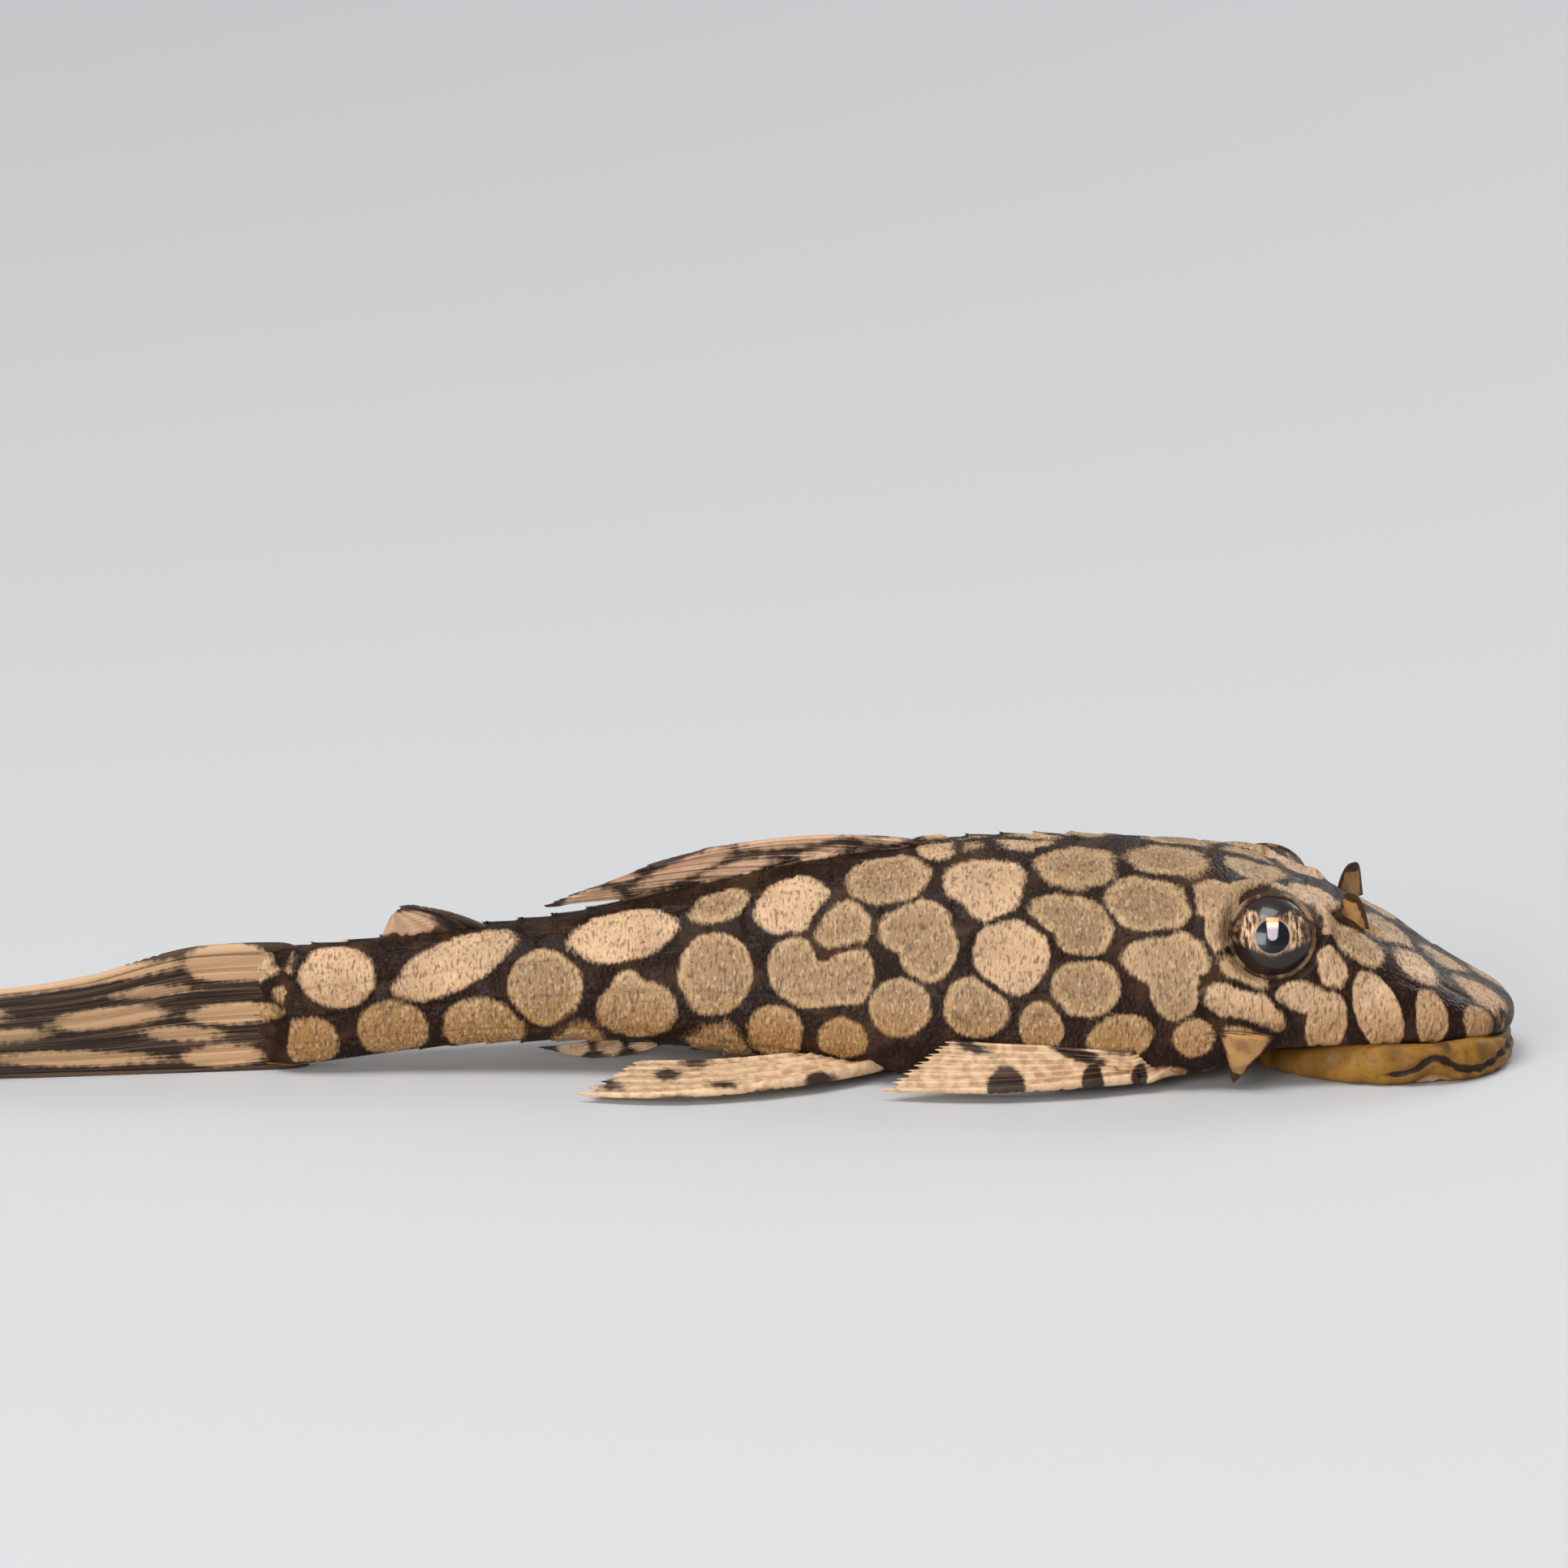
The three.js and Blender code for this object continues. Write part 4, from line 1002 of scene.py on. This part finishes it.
teeth_bm = bmesh.new()
for jaw in (-1, 1):
    for side in SIDES.values():
        for i in range(TEETH_PER_COMB):
            share = (i + 0.7) / TEETH_PER_COMB
            setback = jaw * COMB_SETBACK * (1 - 0.3 * share**2)
            root = np.array([SNOUT_X - MOUTH_STATION - setback, side * COMB_HALF_WIDTH * share, GUM_HEIGHT])
            tip = root + [-jaw * 0.16, 0, -TOOTH_LENGTH * (1 - 0.35 * share)]
            path = between(root, tip, np.array([0, 0.5, 0.9, 1.0]))
            merged(teeth_bm, sheet(tube_rings(path, [0.045, 0.04, 0.035, 0.012], 6, up=(0, 1, 0)), True))
piece_from(teeth_bm, "jaw_teeth", amber)

# Fins. Each fin is a thin web stretched over bony rays that fork towards the margin. The rays are jointed,
# pale and barred with dark brown, the web between them lets light through, and both grow out of the skin.
RAY_COLUMNS = 12
RAY_HALF_WIDTH = 0.17
RAY_TAPER = 0.72
FORK_SPREAD = 0.2
FIN_ROWS = 84
EDGE_STEPS = 4
MARGIN_NOTCH = 0.035
JOINT_LENGTH = 0.34
JOINT_DIP = 0.22
ROOT_DEPTH = 0.25


def fin_piece(name, node, path, rays, thick, web, pattern, finish, fork=0.45, pleat=0.0):
    """A closed fin from the path of its middle sheet: u runs across the rays and v from root to tip."""
    columns = (rays - 1) * RAY_COLUMNS + 1
    u, v = np.meshgrid(np.linspace(0, 1, columns), np.linspace(0, 1, FIN_ROWS + 1), indexing="ij")
    ray_place = u * (rays - 1)
    off = ray_place - np.round(ray_place)
    spread = FORK_SPREAD * ease(v, fork, 1.0) * (ray_place > 0.5)
    off = np.minimum(np.abs(off - spread), np.abs(off + spread))
    ray = np.exp(-((off / (RAY_HALF_WIDTH - 0.07 * v)) ** 2))
    middle = path(u, v * (1 - MARGIN_NOTCH * (1 - ray) * ease(v, 0.6, 1.0)))
    outward = grid_normals(middle)
    middle = middle + outward * (pleat * np.cos(2 * math.pi * ray_place) * ease(v, 0.02, 0.25))[..., None]
    length = np.linalg.norm(middle[0, -1] - middle[0, 0])
    at_joint = np.abs(np.sin(math.pi * v * length / JOINT_LENGTH)) < 0.3
    ray_half = thick(u) / 2 * (1 - RAY_TAPER * v) * (1 - JOINT_DIP * at_joint * ease(v, 0.2, 0.35))
    half = (web / 2 + (ray_half - web / 2) * ray) * np.sqrt(1 - v**30)
    # beyond the first and the last ray, a few steps round the edge off
    steps = np.arange(-EDGE_STEPS, columns + EDGE_STEPS)
    at = np.clip(steps, 0, columns - 1)
    turn = (math.pi / 2 * np.abs(steps - at) / EDGE_STEPS)[:, None, None]
    away = np.where((steps < 0)[:, None, None], middle[0] - middle[1], middle[-1] - middle[-2])
    away /= np.maximum(np.linalg.norm(away, axis=2, keepdims=True), 1e-9)
    reach = half[at][..., None]
    rim = middle[at] + away * reach * np.sin(turn)
    lift = outward[at] * reach * np.cos(turn)
    shell = np.concatenate([rim + lift, (rim - lift)[::-1]])
    shell[..., 2] = np.maximum(shell[..., 2], 0)
    both = np.concatenate([at, at[::-1]])
    bm = sheet(shell, pattern=pattern(shell), ray=ray[both], reach=v[both], place=ray_place[both])
    close_up(bm, 1.5e-6)
    piece_from(bm, name, finish, (node,))


FIN_CREAM = (0.76, 0.52, 0.32, 1)
FIN_TAN = (0.46, 0.28, 0.15, 1)
FIN_DARK = (0.022, 0.013, 0.010, 1)
FIN_BROWN = (0.10, 0.060, 0.036, 1)


def fin_finish(name, pale, root_shows, margin_shows):
    """Pale patches on dark brown, streaked along the rays. The web lets through what is behind it."""
    fin = Finish(name, 0.5, 0.06, 0.05)
    where = fin.place()
    on_ray = fin.painted("ray")
    reach = fin.painted("reach")
    across = fin.maths("MULTIPLY", fin.painted("place"), 2.2)
    streak = fin.noise(fin.put("ShaderNodeCombineXYZ", {0: across, 1: reach})[0], 2.4)
    depth = fin.maths("ADD", fin.painted("pattern"), fin.span(streak, 0.25, 0.75, -0.06, 0.06))
    depth = fin.frayed(depth, where, 3200, 0.05)
    lit = fin.mix(fin.clouds(where, 2600, 0.35, 0.7), pale, FIN_TAN)
    lit = fin.mix(on_ray, lit, FIN_CREAM, 0.3)
    shade = fin.mix(fin.span(streak, 0.42, 0.66), FIN_DARK, FIN_BROWN)
    shade = fin.mix(on_ray, shade, FIN_BROWN, 0.35)
    shows = fin.span(reach, 0.1, 0.95, root_shows, margin_shows)
    fin.wire(fin.put("ShaderNodeMix", {0: on_ray, 2: shows, 3: 1.0}, data_type="FLOAT")[0], "Alpha")
    fin.grain(fin.noise(where, 6000, 1.0), 0.3, 0.00004)
    return fin.coloured(fin.mix(fin.span(depth, -0.10, 0.10), shade, lit))


def shorter(values, u):
    """A size that goes from its first value at the first ray to its second at the last."""
    return values[0] + (values[1] - values[0]) * u


# Back fin. A spine and seven rays stand on a row of small bones in the back. It is folded down, its tips
# lying just clear of the skin.
DORSAL_ORIGIN = 22.9
DORSAL_BASE = 11.4
DORSAL_TIPS = model_points(np.array([35.3, 39.6]), 0, np.array([7.87, 6.35]))
DORSAL_PATCHES = [
    (33.8, 7.44, 2.15, 0.36, 22), (31.55, 7.48, 1.5, 0.28, 14), (29.3, 8.66, 2.2, 0.3, 8),
    (28.26, 8.07, 0.95, 0.22, 12), (25.6, 8.62, 0.85, 0.14, 0), (36.2, 7.12, 0.5, 0.2, 10),
    (37.5, 6.13, 1.15, 0.48, 10), (34.3, 6.26, 1.15, 0.22, 15), (26.3, 8.95, 1.3, 0.16, 3),
    (23.6, 8.85, 0.7, 0.2, 0), (39.0, 5.75, 0.35, 0.15, 10),
]


def dorsal_path(u, v):
    """The folded fin arches a little over the back and never dips into it."""
    station = DORSAL_ORIGIN + DORSAL_BASE * u
    root = model_points(station, 0, through(BACK, station) - ROOT_DEPTH)
    point = between(root, between(*DORSAL_TIPS, u), v)
    point[..., 2] += 4 * v * (1 - v) * shorter((0.75, 0.05), u**0.8)
    over = through(BACK, SNOUT_X - point[..., 0]) + 0.12
    point[..., 2] = np.where(v > 0.02, np.maximum(point[..., 2], over), point[..., 2])
    point[..., 1] = bend_at(SNOUT_X - point[..., 0]) + 0.05 * np.sin(9 * u)
    return point


dorsal_finish = fin_finish("dorsal_web", (0.54, 0.32, 0.22, 1), 0.97, 0.85)
fin_piece(
    "dorsal_fin_web", "dorsal_fin", dorsal_path, 8, lambda u: shorter((0.5, 0.32), u), 0.17,
    lambda points: picture_patches(points, DORSAL_PATCHES), dorsal_finish, fork=0.55, pleat=0.06,
)

# Adipose fin. A short, bony spine leans back over the tail from a small plate in the skin, with a web of skin
# behind it.
ADIPOSE_ORIGIN = 41.6
ADIPOSE_END = 46.1
ADIPOSE_TIP = 45.3, 6.55
ADIPOSE_PATCHES = [(44.95, 5.27, 1.05, 0.46, 0), (46.1, 5.0, 0.6, 0.2, 0)]


def adipose_path(u, v):
    """The spine arches a little and the web behind it lies straight."""
    station = ADIPOSE_ORIGIN + (ADIPOSE_END - ADIPOSE_ORIGIN) * u
    root = model_points(station, 0, through(BACK, station) - ROOT_DEPTH)
    tip = model_points(ADIPOSE_TIP[0] + 0.3 * u, 0, ADIPOSE_TIP[1] - 0.35 * u)
    point = between(root, tip, v)
    point[..., 2] += 0.25 * np.sin(math.pi * v) * (1 - u)
    point[..., 1] = bend_at(SNOUT_X - point[..., 0])
    return point


fin_piece(
    "adipose_fin_web", "adipose_fin", adipose_path, 3, lambda u: shorter((0.6, 0.25), u), 0.12,
    lambda points: picture_patches(points, ADIPOSE_PATCHES), dorsal_finish, fork=2.0,
)

# Anal fin. It is small, with five rays, and grows from the belly just behind the vent. It is folded back
# under the tail.
ANAL_ORIGIN = 33.6
ANAL_BASE = 2.4
ANAL_TIPS = model_points(np.array([38.3, 39.8]), 0, np.array([0.12, 0.5]))
ANAL_PATCHES = [(35.4, 0.3, 0.5, 0.3, 0), (36.8, 0.25, 0.5, 0.35, 0), (38.3, 0.2, 0.6, 0.4, 0)]


def anal_path(u, v):
    """The fin hangs down from the belly and stays clear of the floor."""
    station = ANAL_ORIGIN + ANAL_BASE * u
    root = model_points(station, 0, through(BELLY, station) + 0.3)
    point = between(root, between(*ANAL_TIPS, u), v)
    point[..., 2] -= 0.45 * np.sin(math.pi * v) * (1 - 0.4 * u)
    point[..., 2] = np.maximum(point[..., 2], 0.06)
    point[..., 1] += 0.03 * np.sin(12 * u)
    return point


paired_finish = fin_finish("paired_web", FIN_CREAM, 0.97, 0.62)
fin_piece(
    "anal_fin_web", "anal_fin", anal_path, 5, lambda u: shorter((0.42, 0.3), u), 0.09,
    lambda points: picture_patches(points, ANAL_PATCHES), paired_finish,
)

# Tail fin. Sixteen rays spread from the last bone of the tail, the outer ones stout. It is half closed, its
# lower edge on the floor and its lower lobe the longer.
CAUDAL_RAYS = 16
CAUDAL_ROOT = 49.0
CAUDAL_SWEEP = 0.3
CAUDAL_PLEAT = 0.1
CAUDAL_NOTCH = 1.3
CAUDAL_TOP = [(49, 4.6), (50, 4.95), (53.3, 4.98), (55, 4.7), (58, 3.95), (61.5, 3.6), (65, 3.5)]
CAUDAL_LOW = [(49, 0.35), (50, 0.16), (53, 0.02), (58, 0.05), (65, 0.12)]
CAUDAL_REACHES = 63.4, 2 * SNOUT_X


def caudal_path(u, v):
    """The fin goes on along the tail's swing, its end notched and its rays lightly pleated."""
    reach = shorter(CAUDAL_REACHES, u**1.5) - CAUDAL_NOTCH * np.sin(math.pi * u) ** 1.5
    station = CAUDAL_ROOT + (reach - CAUDAL_ROOT) * v
    away = np.maximum(station - PEDUNCLE_END, 0) / (2 * SNOUT_X - PEDUNCLE_END)
    pleat = CAUDAL_PLEAT * np.sin(math.pi * u * (CAUDAL_RAYS - 1)) * np.minimum(v * 3, 1)
    height = shorter((through(CAUDAL_TOP, station), through(CAUDAL_LOW, station)), u)
    return model_points(station, CAUDAL_SWEEP * away**2 + pleat, height)


caudal_finish = fin_finish("caudal_web", FIN_TAN, 1.0, 0.8)
fin_piece(
    "caudal_fin_web", "caudal_fin", caudal_path, CAUDAL_RAYS,
    lambda u: 0.32 + 0.25 * np.abs(2 * u - 1) ** 6, 0.18,
    lambda points: picture_patches(points, CAUDAL_PATCHES), caudal_finish, fork=0.35,
)

# Chest and hip fins. Each hangs from a girdle of bone under the skin. A stout first ray lies low and outward
# on the floor, and the rest reach back along the flank.
PAIRED_FINS = {
    "pectoral_fin": dict(
        root=((14.1, 6.1, 0.8), (15.1, 6.4, 1.65)), tips=((25.9, 8.3, 0.4), (23.2, 7.2, 2.2)), rays=7,
        thick=(0.85, 0.25), bow=1.4, fork=0.4,
        bars=[(20.8, -1.3, 0.78, 0.9, 0), (17.3, -1.2, 0.45, 0.9, 0), (15.4, -0.85, 0.32, 0.55, 0),
              (25.2, 0.2, 0.7, 0.9, 20), (22.2, 0.35, 0.9, 0.22, -20), (17.9, 0.05, 1.1, 0.3, -18),
              (16.0, 0.3, 1.2, 0.3, 0)],
    ),
    "pelvic_fin": dict(
        root=((25.9, 5.0, 0.7), (28.1, 4.4, 1.1)), tips=((38.0, 7.5, 0.3), (35.8, 4.7, 0.9)), rays=6,
        thick=(0.65, 0.24), bow=2.1, fork=0.35,
        bars=[(34.05, -1.75, 0.95, 0.22, 0), (30.3, -1.55, 0.7, 0.26, 5), (34.4, -0.8, 0.5, 0.26, 0),
              (32.1, -1.2, 0.6, 0.15, 0), (36.7, -1.2, 0.5, 0.18, -10), (33.3, -0.3, 0.6, 0.2, 0),
              (28.3, -1.0, 0.6, 0.3, 5)],
    ),
}
FLANK_CLEAR = 0.16


def paired_thick(fin, u):
    """A stout first ray and thin ones behind it."""
    return shorter(fin["thick"], np.minimum(u * 5, 1))


def paired_path(fin, side, u, v):
    """A chest or hip fin that bows outward and keeps clear of the flank."""
    roots = np.array(fin["root"])
    root = between(*roots, u)
    tip = between(*np.array(fin["tips"]), u**0.9)
    station, away, height = np.moveaxis(between(root, tip, v), -1, 0)
    away = away + shorter((fin["bow"], fin["bow"] * 0.35), u) * 4 * v * (1 - v)
    clear = flank_at(station, height) + FLANK_CLEAR + 0.25 * paired_thick(fin, u)
    inside = roots[:, 1].min()
    away = np.maximum(away, inside + (clear - inside) * ease(v, 0, 0.09))
    return model_points(station, side * away, height)


for fin_name, fin in PAIRED_FINS.items():
    for side_name, side in SIDES.items():
        shift = 0 if side < 0 else 0.5
        bars = [(station + shift, *shape) for station, *shape in fin["bars"]]
        fin_piece(
            f"{fin_name}_web_{side_name}", f"{fin_name}_{side_name}",
            lambda u, v: paired_path(fin, side, u, v), fin["rays"], lambda u: paired_thick(fin, u), 0.15,
            lambda points: -picture_patches(points, bars, -side), paired_finish, fork=fin["fork"], pleat=0.03,
        )

# Skin teeth. Tiny, backward-pointing spines of bone line the rear edge of each plate, and each takes the
# colour of the skin under it.
TEETH_ACROSS = 7
TEETH_EDGE = 0.88
TOOTH_SPAN = 0.15
TOOTH_RADIUS = 0.03
TOOTH_LEAN = 0.25
FLOOR_CLEAR = 0.2
for side_name, side in SIDES.items():
    tooth_rng = np.random.default_rng(21)
    tooth_bm = bmesh.new()
    tooth_blotch = tooth_bm.verts.layers.float.new("blotch")
    tooth_tone = tooth_bm.verts.layers.float.new("tone")
    for plate_row in range(PLATE_ROWS):
        for step in range(PLATE_COUNT * TEETH_ACROSS):
            plate, place = divmod(step, TEETH_ACROSS)
            share = (place + 0.5) / TEETH_ACROSS
            station = PLATE_START + PLATE_LENGTH * (plate + TEETH_EDGE + edge_setback(plate_row, share))
            row = round(SKIN_RINGS * (station / SKIN_END) ** (1 / RING_CROWDING))
            column = round((side * (plate_row + share) / PLATE_ROWS * FLANK_SHARE + 1) / 2 * SKIN_AROUND)
            if station > PEDUNCLE_END - 0.3 or skin_shape[row, column][2] < FLOOR_CLEAR:
                continue
            size = TOOTH_SPAN * tooth_rng.uniform(0.7, 1.15) * MM
            sideways = tooth_rng.uniform(-0.15, 0.15)
            lean = Vector((-1, sideways, 0)) + TOOTH_LEAN * Vector(skin_normals[row, column])
            turned = lean.to_track_quat("Z", "Y").to_matrix().to_4x4()
            middle = Vector(skin_shape[row, column]) * MM + lean.normalized() * (0.38 * size)
            made = bmesh.ops.create_cone(
                tooth_bm, segments=5, radius1=TOOTH_RADIUS * MM, radius2=0.2 * TOOTH_RADIUS * MM, depth=size,
                cap_ends=True, matrix=Matrix.Translation(middle) @ turned,
            )
            for vert in made["verts"]:
                vert[tooth_blotch] = float(blotches[row, column])
                vert[tooth_tone] = float(tone[row, column])
    piece_from(tooth_bm, f"skin_teeth_{side_name}", skin_finish)

# Camera, light and floor. The picture was taken from the fish's right side and a little above it, from far
# off, in soft light from above.
PICTURE_WIDTH = 63.6 * MM
CAMERA_DISTANCE = 0.6
SENSOR = 36.0
AIM = Vector((2.79, 0, 11.17)) * MM
FLOOR_GREY = (0.60, 0.61, 0.62, 1)
SKY_WHITE = (0.82, 0.83, 0.84, 1)
SKY_STRENGTH = 0.38
LAMPS = {  # place, size across and watts
    "overhead": ((-0.05, -0.1, 0.5), 0.3, 1.75),
    "front": ((-0.22, -0.45, 0.13), 0.25, 1.9),
    "far_side": ((0.3, 0.45, 0.3), 0.3, 1.2),
}
camera_data = bpy.data.cameras.new("camera")
camera_data.sensor_width = SENSOR
camera_data.lens = SENSOR * CAMERA_DISTANCE / PICTURE_WIDTH
camera_data.clip_start = 0.01
camera_data.clip_end = 10
camera = in_scene("camera", camera_data)
camera.location = AIM + Vector(TOWARDS_VIEW) * CAMERA_DISTANCE
camera.rotation_euler = (math.pi / 2 - PICTURE_TILT, 0, 0)
bpy.context.scene.camera = camera

floor_bm = bmesh.new()
bmesh.ops.create_grid(floor_bm, x_segments=2, y_segments=2, size=3)
floor_mesh = bpy.data.meshes.new("floor")
floor_bm.to_mesh(floor_mesh)
floor_bm.free()
floor = in_scene("floor", floor_mesh)
floor_finish = bpy.data.materials.new("floor")
floor_finish.use_nodes = True
floor_shader = floor_finish.node_tree.nodes["Principled BSDF"]
floor_shader.inputs["Base Color"].default_value = FLOOR_GREY
floor_shader.inputs["Roughness"].default_value = 0.6
floor_mesh.materials.append(floor_finish)

for lamp_name, (lamp_place, lamp_size, watts) in LAMPS.items():
    lamp_data = bpy.data.lights.new(lamp_name, "AREA")
    lamp_data.size = lamp_size
    lamp_data.energy = watts
    lamp = in_scene(lamp_name, lamp_data)
    lamp.location = Vector(lamp_place)
    lamp.rotation_mode = "QUATERNION"
    lamp.rotation_quaternion = (-lamp.location).to_track_quat("-Z", "Y")
world = bpy.data.worlds.new("studio")
bpy.context.scene.world = world
world.use_nodes = True
world.node_tree.nodes["Background"].inputs["Color"].default_value = SKY_WHITE
world.node_tree.nodes["Background"].inputs["Strength"].default_value = SKY_STRENGTH
bpy.context.scene.view_settings.view_transform = "Standard"
